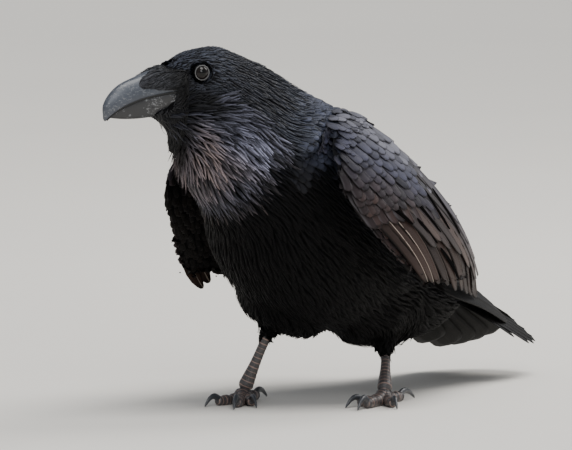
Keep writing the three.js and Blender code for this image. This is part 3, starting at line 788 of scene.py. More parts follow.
# Lengths are in millimetres: spacing of the roots, length, width, and the tip's height over the skin.
coats = {
    "face_feathers": {
        "shape": "tiny", "finish": headPlumage, "spacing": 1.35, "length": 5, "width": 1.3, "high": 0.5,
        "wander": 0.12,
    },
    "head_feathers": {
        "shape": "tiny", "finish": headPlumage, "spacing": 1.8, "length": 8, "width": 1.8, "high": 0.8,
        "wander": 0.07,
    },
    "throat_hackles": {
        "shape": "hackle", "finish": hacklePlumage, "spacing": 2.4, "length": 20, "width": 2.6, "high": 3.6,
        "wander": 0.15, "ragged": 0.35,
    },
    "neck_feathers": {
        "shape": "strand", "finish": headPlumage, "spacing": 2.4, "length": 14, "width": 2.6, "high": 1.9,
        "wander": 0.06,
    },
    "mantle_feathers": {
        "shape": "round", "finish": backPlumage, "spacing": 4.5, "length": 14, "width": 8.4, "high": 1.6,
        "wander": 0.09,
    },
    "breast_feathers": {
        "shape": "strand", "finish": bodyPlumage, "spacing": 3.0, "length": 20, "width": 3.4, "high": 2.6,
        "wander": 0.07,
    },
    "flank_feathers": {
        "shape": "strand", "finish": bodyPlumage, "spacing": 3.4, "length": 26, "width": 3.8, "high": 3.2,
        "wander": 0.1,
    },
    "thigh_feathers": {
        "shape": "strand", "finish": bodyPlumage, "spacing": 2.4, "length": 17, "width": 2.8, "high": 3.2,
        "wander": 0.07, "stiff": 0.2,
    },
    "scapular_feathers": {
        "shape": "covert", "finish": shoulderPlumage, "spacing": 7.5, "length": 30, "width": 13, "high": 1.0,
        "wander": 0.06, "stiff": 0.02, "onBack": True, "flat": 0.6,
    },
    "chin_hackles": {
        "shape": "hackle", "finish": hacklePlumage, "spacing": 2.1, "length": 16, "width": 1.9, "high": 4.2,
        "wander": 0.24, "stiff": 0.6, "ragged": 0.8,
    },
}


def regionOf(points, normals):  # the number of the coat that covers each place, or -1
    nearest, below, left = bodyPlace(points)
    share = spineShares[nearest]
    leg, _ = nearLeg(points)
    along = (points[:, 1] - birdZero.y) / mm
    edge = nearWebEdge(points)
    outward = normals[:, 0] * np.sign(points[:, 0] - birdZero.x)
    wing = onWing(points) & ~((edge < 12) & (outward > -0.2))
    front, aside, high = headPlace(points)
    blur = chance.normal(0, 1, (2, len(points)))
    share = share + 0.008 * blur[0]
    below = below + 0.05 * blur[1]
    front = front + 1.6 * blur[0]
    high = high + 1.6 * blur[1]
    onTop = below < -0.12 - 0.25 * ramp(share, 0.5, 0.65)
    region = np.full(len(points), 5)
    region = np.where(share > 0.6, 6, region)
    region = np.where((below < 0.55 - 1.2 * ramp(share, 0.3, 0.5)) & (share <= 0.42), 3, region)
    region = np.where(((onTop & (share > 0.40)) | (edge < 14)) & (outward > -0.5), 4, region)
    region = np.where((below >= -0.22) & (share > 0.12) & (share < 0.37), 2, region)
    region = np.where((share < 0.26) & (below < 0.3 - (share - 0.1) * 2), 1, region)
    region = np.where((share < 0.1) | (front > -5), 0, region)
    underChin = (high + 5 * blur[0] < -30) & (front + 8 * blur[1] > -22)
    region = np.where(underChin & (below > -0.2) & (share < 0.3), 9, region)
    region = np.where((edge < 15) & (along > -22) & (along < 120) & (outward > -0.2), 8, region)
    region = np.where(leg > 0.35, 7, region)
    region = np.where(wing, -1, region)
    return np.where(billCover(points) > 0.5, -2, region)


regionNames = list(coats)
faceRegions = regionOf(skinSurface["middles"], skinSurface["normals"])


def growCoat(name):
    coat, shape = coats[name], shapes[coats[name]["shape"]]
    chosen = faceRegions == regionNames.index(name)
    roots, normals = scatter(skinSurface, coat["spacing"], chosen)
    ways = turned(bodyLie(roots, normals), normals, chance.normal(0, coat["wander"], len(roots)))
    lengths = coat["length"] * mm * chance.uniform(0.8, 1.2, len(roots))
    lines, facing = trace(skinSurface["tree"], roots, ways, lengths, shape)
    flat = (facing[:, 0] * facing[:, -1]).sum(1) > coat.get("flat", -1)
    roots, ways, lengths, lines, facing = (v[flat] for v in (roots, ways, lengths, lines, facing))
    ragged = coat.get("ragged", 0.15)
    high = coat["high"] * mm * chance.uniform(1 - ragged, 1 + ragged, len(roots))[:, None, None]
    lines, facing = raised(lines, facing, ways, lengths, shape, -0.3 * mm, high, coat.get("stiff", 0.0))
    widths = coat["width"] * mm * chance.uniform(0.85, 1.15, len(roots))
    roll = chance.normal(0, 0.06, len(roots))
    tips = lines[:, -2]
    marks = wingMarks(onSide(tips)) if coat.get("onBack") else markings(tips)
    layVanes(name, shape, lines, facing, widths, 0.3 * mm, 0.2, coat["finish"],
             marks, bodyBake(roots), roll=roll)


print("body feathers")
for coatName in coats:
    if coatName != "scapular_feathers":  # these are laid with the wings, whose markings they carry
        growCoat(coatName)

# Places on a wing are [along, high] as seen from its side, in the bird's own millimetres.
sheet = {"along": (-115, 205), "high": (50, 265), "step": 5, "reach": 250}


def onSide(points):  # along and high on the side view, in the bird's own millimetres
    return np.stack([points[..., 1] - birdZero.y, points[..., 2] - birdZero.z], axis=-1) / mm


# the wing's outer face as a smooth height over its side view, carried on past its edges
def wingSheet(side):
    sign = 1 if side == "left" else -1
    along = np.arange(*sheet["along"], sheet["step"])
    high = np.arange(*sheet["high"], sheet["step"])
    found = np.full((len(along), len(high)), np.nan)
    for i, y in enumerate(along):
        for j, z in enumerate(high):
            hit, _, _, _ = wingTrees[side].ray_cast(bird(sign * sheet["reach"], y, z), (-sign, 0, 0))
            if hit is not None:
                found[i, j] = hit.x
    known = ~np.isnan(found)
    level = np.where(known, found, np.nanmean(found))
    turns, lastTurns = 400, 6  # the last ones smooth the known places too
    for turn in range(turns):
        padded = np.pad(level, 1, mode="edge")
        around = (padded[:-2, 1:-1] + padded[2:, 1:-1] + padded[1:-1, :-2] + padded[1:-1, 2:]) / 4
        level = np.where(known, level if turn < turns - lastTurns else (level + around) / 2, around)
    return {"level": level, "along": along, "high": high, "sign": sign}


def sheetAt(face, places):  # points and outward normals for an array of side-view places
    def level(values):
        i = np.clip((values[..., 0] - face["along"][0]) / sheet["step"], 0, len(face["along"]) - 1.001)
        j = np.clip((values[..., 1] - face["high"][0]) / sheet["step"], 0, len(face["high"]) - 1.001)
        a, b = i.astype(int), j.astype(int)
        s, t = i - a, j - b
        grid = face["level"]
        return ((grid[a, b] * (1 - s) + grid[a + 1, b] * s) * (1 - t)
                + (grid[a, b + 1] * (1 - s) + grid[a + 1, b + 1] * s) * t)
    x = level(places)
    slopeAlong = (level(places + [4, 0]) - level(places - [4, 0])) / (8 * mm)
    slopeHigh = (level(places + [0, 4]) - level(places - [0, 4])) / (8 * mm)
    points = np.stack([x, birdZero.y + places[..., 0] * mm, birdZero.z + places[..., 1] * mm], axis=-1)
    normals = np.stack([np.ones_like(x), -slopeAlong, -slopeHigh], axis=-1) * face["sign"]
    return points, unit(normals)


# Rows of long feathers, from the wing's leading edge to its upper edge.
wing = {
    "flight": {
        "roots": [(-68, 180), (-50, 184), (-20, 190), (14, 190), (36, 186)],
        "tips": [(-4, 104), (24, 100), (70, 93), (120, 85), (156, 78)],
        "count": 9, "width": (17, 25), "bend": 4, "low": 0.4, "high": 1.6, "roll": 6, "skew": 0.35,
        "pale": 2, "farTip": (5, -16), "slot": "flight_feathers",
    },
    "tertials": {
        "roots": [(-34, 172), (-22, 182), (-6, 188), (10, 194), (16, 204), (6, 216)],
        "tips": [(20, 132), (48, 130), (96, 112), (146, 92), (132, 112), (96, 142)],
        "count": 10, "width": (15, 20), "bend": 3, "low": 0.8, "high": 2.8, "roll": 8, "skew": 0.3,
        "pale": 0, "slot": "flight_feathers",
    },
    # painted shadow: the gaps row is thin near-black vanes laid where the slots between feathers fall into
    # shade
    "gaps": {
        "roots": [(-39, 168), (-2, 172), (-4, 153), (30, 172), (52, 171), (30, 128)],
        "tips": [(-15, 150), (36, 139), (24, 131), (58, 140), (84, 134), (68, 101)],
        "count": 6, "width": (4.5, 5.5), "bend": 0.5, "low": 2.6, "high": 3.0, "roll": 4, "skew": 0.0,
        "pale": 0, "slot": "wing_coverts",
    },
    "greater": {
        "roots": [(-78, 182), (-62, 188), (-38, 192), (-10, 194), (14, 190)],
        "tips": [(-55, 151), (-40, 153), (-16, 152), (14, 148), (44, 150)],
        "count": 10, "width": (14, 17), "bend": 1.5, "low": 0.8, "high": 2.2, "roll": 6, "skew": 0.25,
        "pale": 0, "slot": "wing_coverts",
    },
}
# Rows of shorter feathers laid like tiles, from the first row's roots to the last row's.
tiles = {
    "middle": {
        "first": [(-82, 206), (-66, 214), (-46, 222), (-22, 226), (2, 216)],
        "last": [(-76, 170), (-60, 174), (-38, 177), (-14, 178), (12, 172)],
        "rows": 8, "count": 10, "ways": [(0.42, -0.9), (0.75, -0.66)],
        "length": (18, 23), "width": (11, 13.5), "low": 2.4, "high": 4.7, "roll": 4, "splay": 0.07,
    },
    "lesser": {
        "first": [(-78, 222), (-62, 231), (-44, 240), (-22, 236)],
        "last": [(-85, 204), (-70, 214), (-50, 224), (-26, 226)],
        "rows": 6, "count": 13, "ways": [(0.3, -0.95), (0.75, -0.66)],
        "length": (9, 12), "width": (6, 7.5), "low": 2.8, "high": 4.2, "roll": 4, "splay": 0.12,
    },
    "marginal": {
        "first": [(-84, 204), (-82, 190), (-75, 175), (-67, 164)],
        "last": [(-77, 202), (-74, 188), (-66, 173), (-58, 162)],
        "rows": 3, "count": 7, "ways": [(0.15, -0.99), (0.6, -0.8)],
        "length": (13, 17), "width": (6.5, 7.5), "low": 1.6, "high": 2.8, "roll": 0, "splay": 0.08,
    },
    "shoulder": {
        "first": [(-30, 238), (-8, 234), (12, 224), (34, 208), (58, 188)],
        "last": [(-20, 208), (0, 200), (18, 190), (36, 176), (56, 160)],
        "rows": 4, "count": 7, "ways": [(0.78, -0.63), (0.82, -0.57)],
        "length": (30, 42), "width": (12, 14.5), "low": 1.4, "high": 2.9, "roll": 5, "splay": 0.07,
    },
}


def wingRow(side, name, shape, finish, face):
    row = wing[name]
    shares = np.linspace(0, 1, row["count"])
    roots, tips = smoothRun(row["roots"], shares), smoothRun(row["tips"], shares)
    if side == "right":
        tips = tips + np.array(row.get("farTip", (0, 0))) * (1 - ramp(shares, 0, 0.3))[:, None]
    roots += chance.normal(0, 0.6, roots.shape)
    tips += chance.normal(0, 0.8, tips.shape)
    along = shape["along"][None, :, None]
    bow = (tips - roots)[:, ::-1] * [1, -1]
    bow = -unit(bow) * row["bend"]
    places = roots[:, None] + (tips - roots)[:, None] * along + bow[:, None] * np.sin(math.pi * along)
    lines, normals = sheetAt(face, places)
    rise = row["low"] + (row["high"] - row["low"]) * along
    lines = lines + normals * rise * mm
    widths = np.interp(shares, [0, 1], row["width"]) * mm * chance.uniform(0.94, 1.06, len(shares))
    marks = wingMarks(places[:, -2])
    marks[:, 2] = np.arange(len(marks)) < row["pale"]
    sign = 1 if side == "left" else -1
    layVanes(f"{name}_{side}", shape, lines, normals, widths, 0.5 * mm, 0.16, finish, marks,
             stripBake(len(shares)), roll=math.radians(row["roll"]) * sign, skew=row["skew"] * sign)


def stripBake(count):  # long feathers side by side
    places = np.stack([np.linspace(0, 1, count) * 0.9 + 0.05, np.full(count, 0.5)], axis=1)
    return {"at": places, "size": np.tile([0.8 / count, 0.9], (count, 1))}


# painted highlight: the wing's sheen grows towards its upper edge (rim), where the light falls from above,
# with a pale painted highlight along the upper contour; lower down it loses sheen and turns brown
def wingMarks(places):
    along, high = places[:, 0], places[:, 1]
    lower = ramp(200 - high - 0.3 * along, 10, 55)
    rim = ramp(high + 0.55 * along, 164, 188)
    sheen = 0.8 - 0.6 * lower + 0.2 * ramp(along, 60, 150) + 0.6 * rim
    brown = 0.15 + 0.75 * lower
    pale = ramp(high + 0.55 * along, 188, 212) * (1 - ramp(along, 60, 90))
    return np.stack([sheen, brown, pale, np.ones(len(sheen))], axis=1)


def wingLie(points, normals):
    way = np.tile([0, 0.68, -0.73], (len(points), 1))
    back = ramp((points[:, 1] - birdZero.y) / mm, -40, 60)[:, None]
    way = way * (1 - back) + np.array([0, 0.85, -0.5]) * back
    return unit(way - normals * (way * normals).sum(1, keepdims=True))


faceOnWing = onWing(skinSurface["middles"])
wingCoats = {
    "lining": {
        "shape": "contour", "finish": darkPlumage, "spacing": 5.5, "length": 12, "width": 8, "low": -0.2,
        "high": 1.0, "wander": 0.08,
    },
    "edge": {
        "shape": "contour", "finish": wingPlumage, "spacing": 3.6, "length": 11, "width": 6, "low": -0.1,
        "high": 0.5, "wander": 0.05,
    },
}


def growWingCoat(name, side, chosen):
    coat, shape = wingCoats[name], shapes[wingCoats[name]["shape"]]
    roots, normals = scatter(skinSurface, coat["spacing"], chosen)
    ways = turned(wingLie(roots, normals), normals, chance.normal(0, coat["wander"], len(roots)))
    lengths = coat["length"] * mm * chance.uniform(0.85, 1.15, len(roots))
    lines, facing = trace(skinSurface["tree"], roots, ways, lengths, shape)
    lines, facing = raised(lines, facing, ways, lengths, shape, coat["low"] * mm, coat["high"] * mm)
    widths = coat["width"] * mm * chance.uniform(0.9, 1.1, len(roots))
    places = onSide(roots)
    layVanes(f"{name}_coverts_{side}", shape, lines, facing, widths, 0.35 * mm, 0.25, coat["finish"],
             wingMarks(places), sideBake(places))


def sideBake(places):  # on an unwrap of the wing as seen from its side
    at = (places - [sheet["along"][0], sheet["high"][0]]) / 320
    return {"at": at, "size": np.full((len(places), 2), 0.003)}


# rows of tiles, each row half a feather along from the last
def layTiles(name, side, shape, finish):
    tile = tiles[name]
    sign = 1 if side == "left" else -1
    roots, ways, lengths, widths = [], [], [], []
    for row in reversed(range(tile["rows"])):
        down = row / max(tile["rows"] - 1, 1)
        shares = (np.arange(tile["count"]) + 0.5 * (row % 2)) / (tile["count"] - 0.5)
        line = smoothRun(tile["first"], shares) * (1 - down) + smoothRun(tile["last"], shares) * down
        line += chance.normal(0, 0.9, line.shape)
        for share, (along, high) in zip(shares, line):
            start = bird(sign * sheet["reach"], along, high)
            hit, normal, _, _ = skinSurface["tree"].ray_cast(start, (-sign, 0, 0))
            if hit is None or abs(normal.x) < 0.3:
                continue
            if not (onWing([hit])[0] or (along > -74 and nearWebEdge(np.array([hit]))[0] < 16)):
                continue
            (y0, z0), (y1, z1) = tile["ways"]
            way = Vector((0, y0 + (y1 - y0) * share, z0 + (z1 - z0) * share))
            way.rotate(Matrix.Rotation(chance.normal(0, tile["splay"]), 3, "X"))
            roots.append(hit)
            ways.append((way - normal * way.dot(normal)).normalized())
            lengths.append(np.interp(share, [0, 1], tile["length"]) * mm)
            widths.append(np.interp(share, [0, 1], tile["width"]) * mm)
    roots, ways = np.array(roots), np.array(ways)
    lengths = np.array(lengths) * chance.uniform(0.86, 1.14, len(roots))
    widths = np.array(widths) * chance.uniform(0.88, 1.12, len(roots))
    lines, facing = trace(skinSurface["tree"], roots, ways, lengths, shape)
    flat = (facing[:, 0] * facing[:, -1]).sum(1) > 0.5
    ways, lengths, widths, lines, facing = (v[flat] for v in (ways, lengths, widths, lines, facing))
    lines, facing = raised(lines, facing, ways, lengths, shape, tile["low"] * mm, tile["high"] * mm, 0.3)
    places = onSide(lines[:, -2])
    layVanes(f"{name}_coverts_{side}", shape, lines, facing, widths, 0.35 * mm, 0.14, finish,
             wingMarks(places), sideBake(places), roll=math.radians(tile["roll"]) * sign)


print("wings")
growCoat("scapular_feathers")
for wingSide, sign in (("left", 1), ("right", -1)):
    outerFace = wingSheet(wingSide)
    wingRow(wingSide, "flight", shapes["flight"], flightPlumage, outerFace)
    wingRow(wingSide, "tertials", shapes["flight"], shoulderPlumage, outerFace)
    wingRow(wingSide, "gaps", shapes["flight"], gapShade, outerFace)
    wingRow(wingSide, "greater", shapes["covert"], wingPlumage, outerFace)
    layTiles("middle", wingSide, shapes["round"], wingPlumage)
    layTiles("lesser", wingSide, shapes["round"], wingPlumage)
    layTiles("marginal", wingSide, shapes["covert"], wingPlumage)
    layTiles("shoulder", wingSide, shapes["covert"], shoulderPlumage)
    thisWing = faceOnWing & ((skinSurface["middles"][:, 0] - birdZero.x) * sign > 0)
    facing = skinSurface["normals"]
    leading = (facing[:, 1] < -0.3) & (facing[:, 0] * sign > -0.75)
    growWingCoat("edge", wingSide, thisWing & leading)
    inner = (facing[:, 0] * sign < -0.35) & (nearWebEdge(skinSurface["middles"]) > 15)
    inner &= skinSurface["middles"][:, 1] - birdZero.y < 85 * mm
    growWingCoat("lining", wingSide, thisWing & ~leading & inner)

tail = {
    "pairs": 6, "root": (0, 128, 105), "length": 188, "slope": 19.5, "wedge": 1.5, "outerStep": 8,
    "roof": 0.6,
    "roll": -0.03, "aside": -1.5, "fan": 2.2, "middleTurn": 0.4, "spread": 3.2, "middleOut": 2, "width": 27,
    "worn": 9,
}
wingTips = {
    "count": 5, "roots": ((60, 80, 108), (70, 72, 94)), "tips": ((14, 226, 67), (22, 256, 49)),
    "width": 22, "bow": 6,
}


def straightVanes(name, roots, tips, across, widths, bow, nodes, marks, shape):
    roots, tips, across = (np.array(v, float) for v in (roots, tips, across))
    along = shape["along"][None, :, None]
    facing = unit(np.cross(tips - roots, across))
    facing = facing * np.sign(facing[:, 2:3])
    lines = roots[:, None] + (tips - roots)[:, None] * along + facing[:, None] * bow * np.sin(math.pi * along)
    normals = np.broadcast_to(facing[:, None], lines.shape).copy()
    layVanes(name, shape, lines, normals, np.array(widths), 0.8 * mm, 0.04, tailPlumage,
             marks, stripBake(len(roots)), nodes)


tailPlumage = plumage(
    "tail feathers", (0.004, 0.004, 0.004), (0.016, 0.017, 0.019), (0.016, 0.012, 0.008), 0.5, 90,
    shaft=0.08, rim=0.7, shine=0.1, contrast=0.3)


def makeTail():
    roots, tips, across, widths = [], [], [], []
    slope = math.radians(tail["slope"])
    for pair in range(tail["pairs"]):
        for side in (1, -1):
            length = tail["length"] - tail["wedge"] * pair**2
            length -= tail["outerStep"] if pair == tail["pairs"] - 1 else 0
            length -= tail["worn"] * max(0, pair - 2) * (side > 0)
            turn = math.radians((pair + tail["middleTurn"]) * tail["fan"] * side + tail["aside"])
            out = side * (tail["middleOut"] + tail["spread"] * pair)
            lean = tail["roll"] - side * tail["roof"]
            x, y, z = tail["root"]
            root = Vector((x + out, y, z + out * lean - 0.4 * pair))
            away = math.sin(turn) * length
            drop = math.sin(slope) * length - away * lean
            roots.append(bird(*root))
            tips.append(bird(*(root + Vector((away, math.cos(slope) * length, -drop)))))
            across.append((1, 0, lean))
            widths.append(tail["width"] * mm)
    marks = np.tile([0.15, 0.3, 0, 1], (len(roots), 1))
    straightVanes("tail_feathers", roots, tips, across, widths, 2 * mm, ["tail"], marks, shapes["tail"])


def makeWingTips(side):
    sign = 1 if side == "left" else -1
    shares = np.linspace(0, 1, wingTips["count"])
    roots = smoothRun([bird(sign * x, y, z) for x, y, z in wingTips["roots"]], shares)
    tips = smoothRun([bird(sign * x, y, z) for x, y, z in wingTips["tips"]], shares)
    across = np.tile([0.6 * sign, 0, -0.8], (len(roots), 1))
    marks = np.tile([0.2, 0.4, 0, 1], (len(roots), 1))
    widths = np.full(len(roots), wingTips["width"] * mm)
    straightVanes(f"wing_tip_{side}", roots, tips, across, widths, wingTips["bow"] * mm,
                  ["primaries_" + side], marks, shapes["flight"])


print("tail and wing tips")
makeTail()
makeWingTips("left")
makeWingTips("right")

bill = {
    "ridge": [(14, 2), (26, 3.6), (38, 0.8), (50, -3.5), (61, -8), (70, -15), (76, -24.5), (76, -35)],
    "edge": [
        (14, -13.5), (26, -15.5), (36, -17.5), (46, -20), (56, -23.5), (64, -27.5), (70, -32), (74.5, -37),
    ],
    "keel": [(14, -31), (26, -34), (36, -35.5), (46, -36.2), (56, -36.2), (64, -35.6), (70, -34.8)],
    "upperHalf": [18, 13.2, 9.4, 7.8, 6.7, 5.4, 3.7, 1.1],
    "lowerHalf": [17, 12.4, 8.7, 6.9, 5.4, 3.8, 1.2],
    "rings": 44, "sides": 32, "lowerEnd": 0.86, "gap": 1.3,
}


def archRing(high, low, half, roundness, flip):
    ring = []
    for j in range(bill["sides"]):
        a = 2 * math.pi * j / bill["sides"]
        share = abs(math.sin(a)) ** (2 / roundness)
        bulge = share if math.sin(a) > 0 else -0.1 * share
        (x0, y0), (x1, y1) = (high, low) if flip else (low, high)
        ring.append(onHead(x0 + (x1 - x0) * bulge, math.cos(a) * half, y0 + (y1 - y0) * bulge))
    return ring


def hornFinish(name, colour, pale, rough, worn=0.0):
    finish = Finish(name, Specular_IOR_Level=0.5, Coat_Roughness=0.25)
    place = objectPlace(finish)
    drawn = finish.add("ShaderNodeMapping", None, {"Vector": place, "Scale": (1.0, 0.3, 1.4)})
    broad, fine = finish.noise(place, 60), finish.noise(drawn, 520, 6, 0.75)
    shade = finish.mix(broad * 0.9, colour, pale)
    shade = finish.mix(fine * 0.45, shade, (0.012, 0.012, 0.013))
    scratched = (fine > 0.56) * (broad > 0.43) * worn
    shade = finish.mix(scratched, shade, (0.22, 0.225, 0.235))
    finish.set(Base_Color=shade, Roughness=rough + 0.2 * fine, Coat_Weight=0.2)
    finish.bump(fine, 0.0003, 0.4)
    return finish.material


def makeBill():
    shares = np.linspace(0, 1, bill["rings"])
    ridge, edge = smoothRun(bill["ridge"], shares), smoothRun(bill["edge"], shares)
    half = smoothRun(bill["upperHalf"], shares)[:, 0]
    rings = [archRing(r, e, h, 2.1, False) for r, e, h in zip(ridge, edge, half)]
    horn = hornFinish("upper bill horn", (0.034, 0.040, 0.054), (0.085, 0.098, 0.125), 0.28, 0.5)
    finishPiece(meshOf(loftRings(rings), "upper_bill"), "upper_bill", horn, ["bill_upper"])
    keel = smoothRun(bill["keel"], shares)
    top = smoothRun(bill["edge"], shares * bill["lowerEnd"])
    half = smoothRun(bill["lowerHalf"], shares)[:, 0]
    rings = [archRing(t - [0, bill["gap"]], k, h, 2, True) for t, k, h in zip(top, keel, half)]
    horn = hornFinish("lower bill horn", (0.008, 0.009, 0.011), (0.036, 0.036, 0.041), 0.36, 0.7)
    finishPiece(meshOf(loftRings(rings), "lower_bill"), "lower_bill", horn, ["bill_lower"])


# painted shadow: a thin near-black tube along each side of the bill's cutting edge stands in for the shade in
# the gap between the mandibles
mouthShadow = {"span": (0.05, 0.97), "out": 0.1, "down": 0.6, "radius": 0.95, "thinner": 0.45}


def mouthSize(share, _):
    return mouthShadow["radius"] - mouthShadow["thinner"] * share


def makeMouthShadow():
    shares = np.linspace(*mouthShadow["span"], 12)
    edge = smoothRun(bill["edge"], shares)
    half = smoothRun(bill["upperHalf"], shares)[:, 0] + mouthShadow["out"]
    mouth = Finish("mouth line shadow", Base_Color=(0.003, 0.003, 0.003), Roughness=0.7).material
    for side, name in ((1, "left"), (-1, "right")):
        points = [onHead(x, side * h, y - mouthShadow["down"]) for (x, y), h in zip(edge, half)]
        form = limb(points, 48, 8, mouthSize)
        finishPiece(meshOf(form, "mouth_line_" + name), "mouth_line_" + name, mouth)


print("bill")
makeBill()

# Where feathers cover the bill: over its nostrils, at its gape, and under its jaw.
mask = {
    "patchHigh": (-12.6, -12, -9, -5.5, -3, 0, 4), "patchReach": (20, 44, 46.5, 45, 43, 38, 33),
    "gapeReach": 18.5,
    "jawFront": (16.7, 24, 30, 36, 40), "jawHigh": (-25.1, -28.8, -30.8, -33.2, -36), "chinReach": 38,
    "voxel": 0.9, "passes": 5, "back": -4, "proud": 0.2, "sunk": 3.0,
    "backPull": 0.4, "browPull": 0.28, "foreheadPull": 0.08,
}
faceCoats = {
    "nostril_bristles": {
        "shape": "strand", "finish": bristlePlumage, "spacing": 1.05, "length": 13, "width": 0.8, "high": 1.3,
        "wander": 0.1, "marks": (0.75, 0.1, 0, 1),
    },
    "forehead_feathers": {
        "shape": "tiny", "finish": headPlumage, "spacing": 1.2, "length": 5, "width": 1.2, "high": 0.5,
        "wander": 0.12, "marks": (0.75, 0.0, 0, 1),
    },
    "gape_feathers": {
        "shape": "tiny", "finish": bristlePlumage, "spacing": 1.1, "length": 4.5, "width": 1.0, "high": 0.7,
        "wander": 0.15, "marks": (0.35, 0.1, 0, 1),
    },
    "chin_feathers": {
        "shape": "tiny", "finish": bristlePlumage, "spacing": 1.3, "length": 7, "width": 1.0, "high": 1.2,
        "wander": 0.15, "marks": (0.2, 0.1, 0, 1),
    },
}


def maskCover(points):  # 1 where the feathered face lies over the bill
    front, aside, high = headPlace(points)
    patch = np.interp(high, mask["patchHigh"], mask["patchReach"])
    jaw = np.interp(front, mask["jawFront"], mask["jawHigh"])
    reach = np.where(high > mask["patchHigh"][0], patch, mask["gapeReach"])
    reach = np.where(high < jaw, mask["chinReach"], reach)
    return 1 - ramp(front, reach - 1, reach + 1.5)


# feathers combed forward and down by set amounts
def combed(points, normals, forward, down):
    way = np.tile(np.array(headForward) * forward - np.array([0, 0, down]), (len(points), 1))
    return unit(way - normals * (way * normals).sum(1, keepdims=True))


def bristleLie(points, normals):
    return combed(points, normals, 1, 0.35)


def gapeLie(points, normals):
    return combed(points, normals, 0.8, 0.8)


def chinLie(points, normals):
    return combed(points, normals, -0.3, 1)


def growFace(name, bed, chosen, lie):
    coat, shape = faceCoats[name], shapes[faceCoats[name]["shape"]]
    roots, normals = scatter(bed, coat["spacing"], chosen)
    ways = turned(lie(roots, normals), normals, chance.normal(0, coat["wander"], len(roots)))
    lengths = coat["length"] * mm * chance.uniform(0.7, 1.15, len(roots))
    lines, facing = trace(bed["tree"], roots, ways, lengths, shape)
    high = coat["high"] * mm * chance.uniform(0.7, 1.2, len(roots))[:, None, None]
    lines, facing = raised(lines, facing, ways, lengths, shape, -0.1 * mm, high)
    widths = np.full(len(roots), coat["width"] * mm)
    marks = np.tile(coat["marks"], (len(roots), 1))
    front, _, high = headPlace(roots)
    marks[:, 0] *= np.maximum(ramp(front, 9, 25), ramp(high, 2, 5))  # black before the eye
    layVanes(name, shape, lines, facing, widths, 0.3 * mm, 0.1, coat["finish"], marks,
             bodyBake(roots))


def makeFace():
    nodes = ["head", "nostril_tuft", "bill_upper", "bill_lower"]
    form = melted(nodes, mask["voxel"] * mm, mask["passes"], onHead(mask["back"], 0, 0), -headForward)
    points = np.array([v.co for v in form.verts])
    front, aside, high = headPlace(points)
    cover = maskCover(points)
    out = cover * mask["proud"] - (1 - cover) * mask["sunk"]
    upward = 7 * ramp(high, 2, 5)
    brow = mask["browPull"] * (1 - ramp(front, 17, 28)) + mask["foreheadPull"] * (1 - ramp(front, 28, 38))
    pull = mask["backPull"] * (1 - ramp(front, 5 + upward, 12 + upward))
    pull = pull + brow * ramp(high, 2, 4)  # in under the skin at the back and over the brow
    for vert, far, inward, forward in zip(form.verts, out, np.clip(pull, 0, 0.5), front):
        vert.co = vert.co + vert.normal * float(far) * mm
        vert.co = vert.co.lerp(onHead(float(forward), 0, -10), float(inward))
    form.normal_update()
    bed = surfaceOf(form)
    mesh = meshOf(form, "face_bed")
    dark = np.tile([0.05, 0.05, 1.0, 1.0], (len(mesh.vertices), 1))
    mesh.attributes.new("mark", "FLOAT_COLOR", "POINT").data.foreach_set("color", dark.ravel())
    finishPiece(mesh, "face_bed", skinFinish(), ["nostril_tuft"])
    front, aside, high = headPlace(bed["middles"])
    covered = maskCover(bed["middles"]) > 0.6
    jaw = np.interp(front, mask["jawFront"], mask["jawHigh"])
    upper = covered & (high > -12.5) & (high < 3.4) & (front > 8) & (front < 43)
    growFace("nostril_bristles", bed, upper, bristleLie)
    growFace("forehead_feathers", bed, covered & (high >= 3.0) & (front > 20), bodyLie)
    growFace("gape_feathers", bed, covered & (high <= -12.5) & (high > jaw) & (front > 8), gapeLie)
    growFace("chin_feathers", bed, covered & (high <= jaw) & (front > 8), chinLie)


print("face")
makeFace()

eye = {"radius": 6.4, "lidRadius": 5.7, "lidThick": 0.48, "beads": 30, "lidLift": 3.7, "sunk": 0.0}


def eyeFinish():
    finish = Finish("wet eye", Roughness=0.08, Coat_Weight=0.1, Coat_Roughness=0.02, Specular_IOR_Level=0.22)
    marks = finish.add("ShaderNodeAttribute", {"attribute_name": "gaze"}, None, 2)
    stops = [
        (0.0, (0.002, 0.002, 0.002)), (0.4, (0.002, 0.002, 0.002)), (0.48, (0.006, 0.004, 0.0035)),
        (0.75, (0.010, 0.007, 0.006)), (0.92, (0.004, 0.004, 0.004)),
    ]
    finish.set(Base_Color=finish.add("ShaderNodeValToRGB", {"stops": stops}, {"Fac": marks}))
    return finish.material


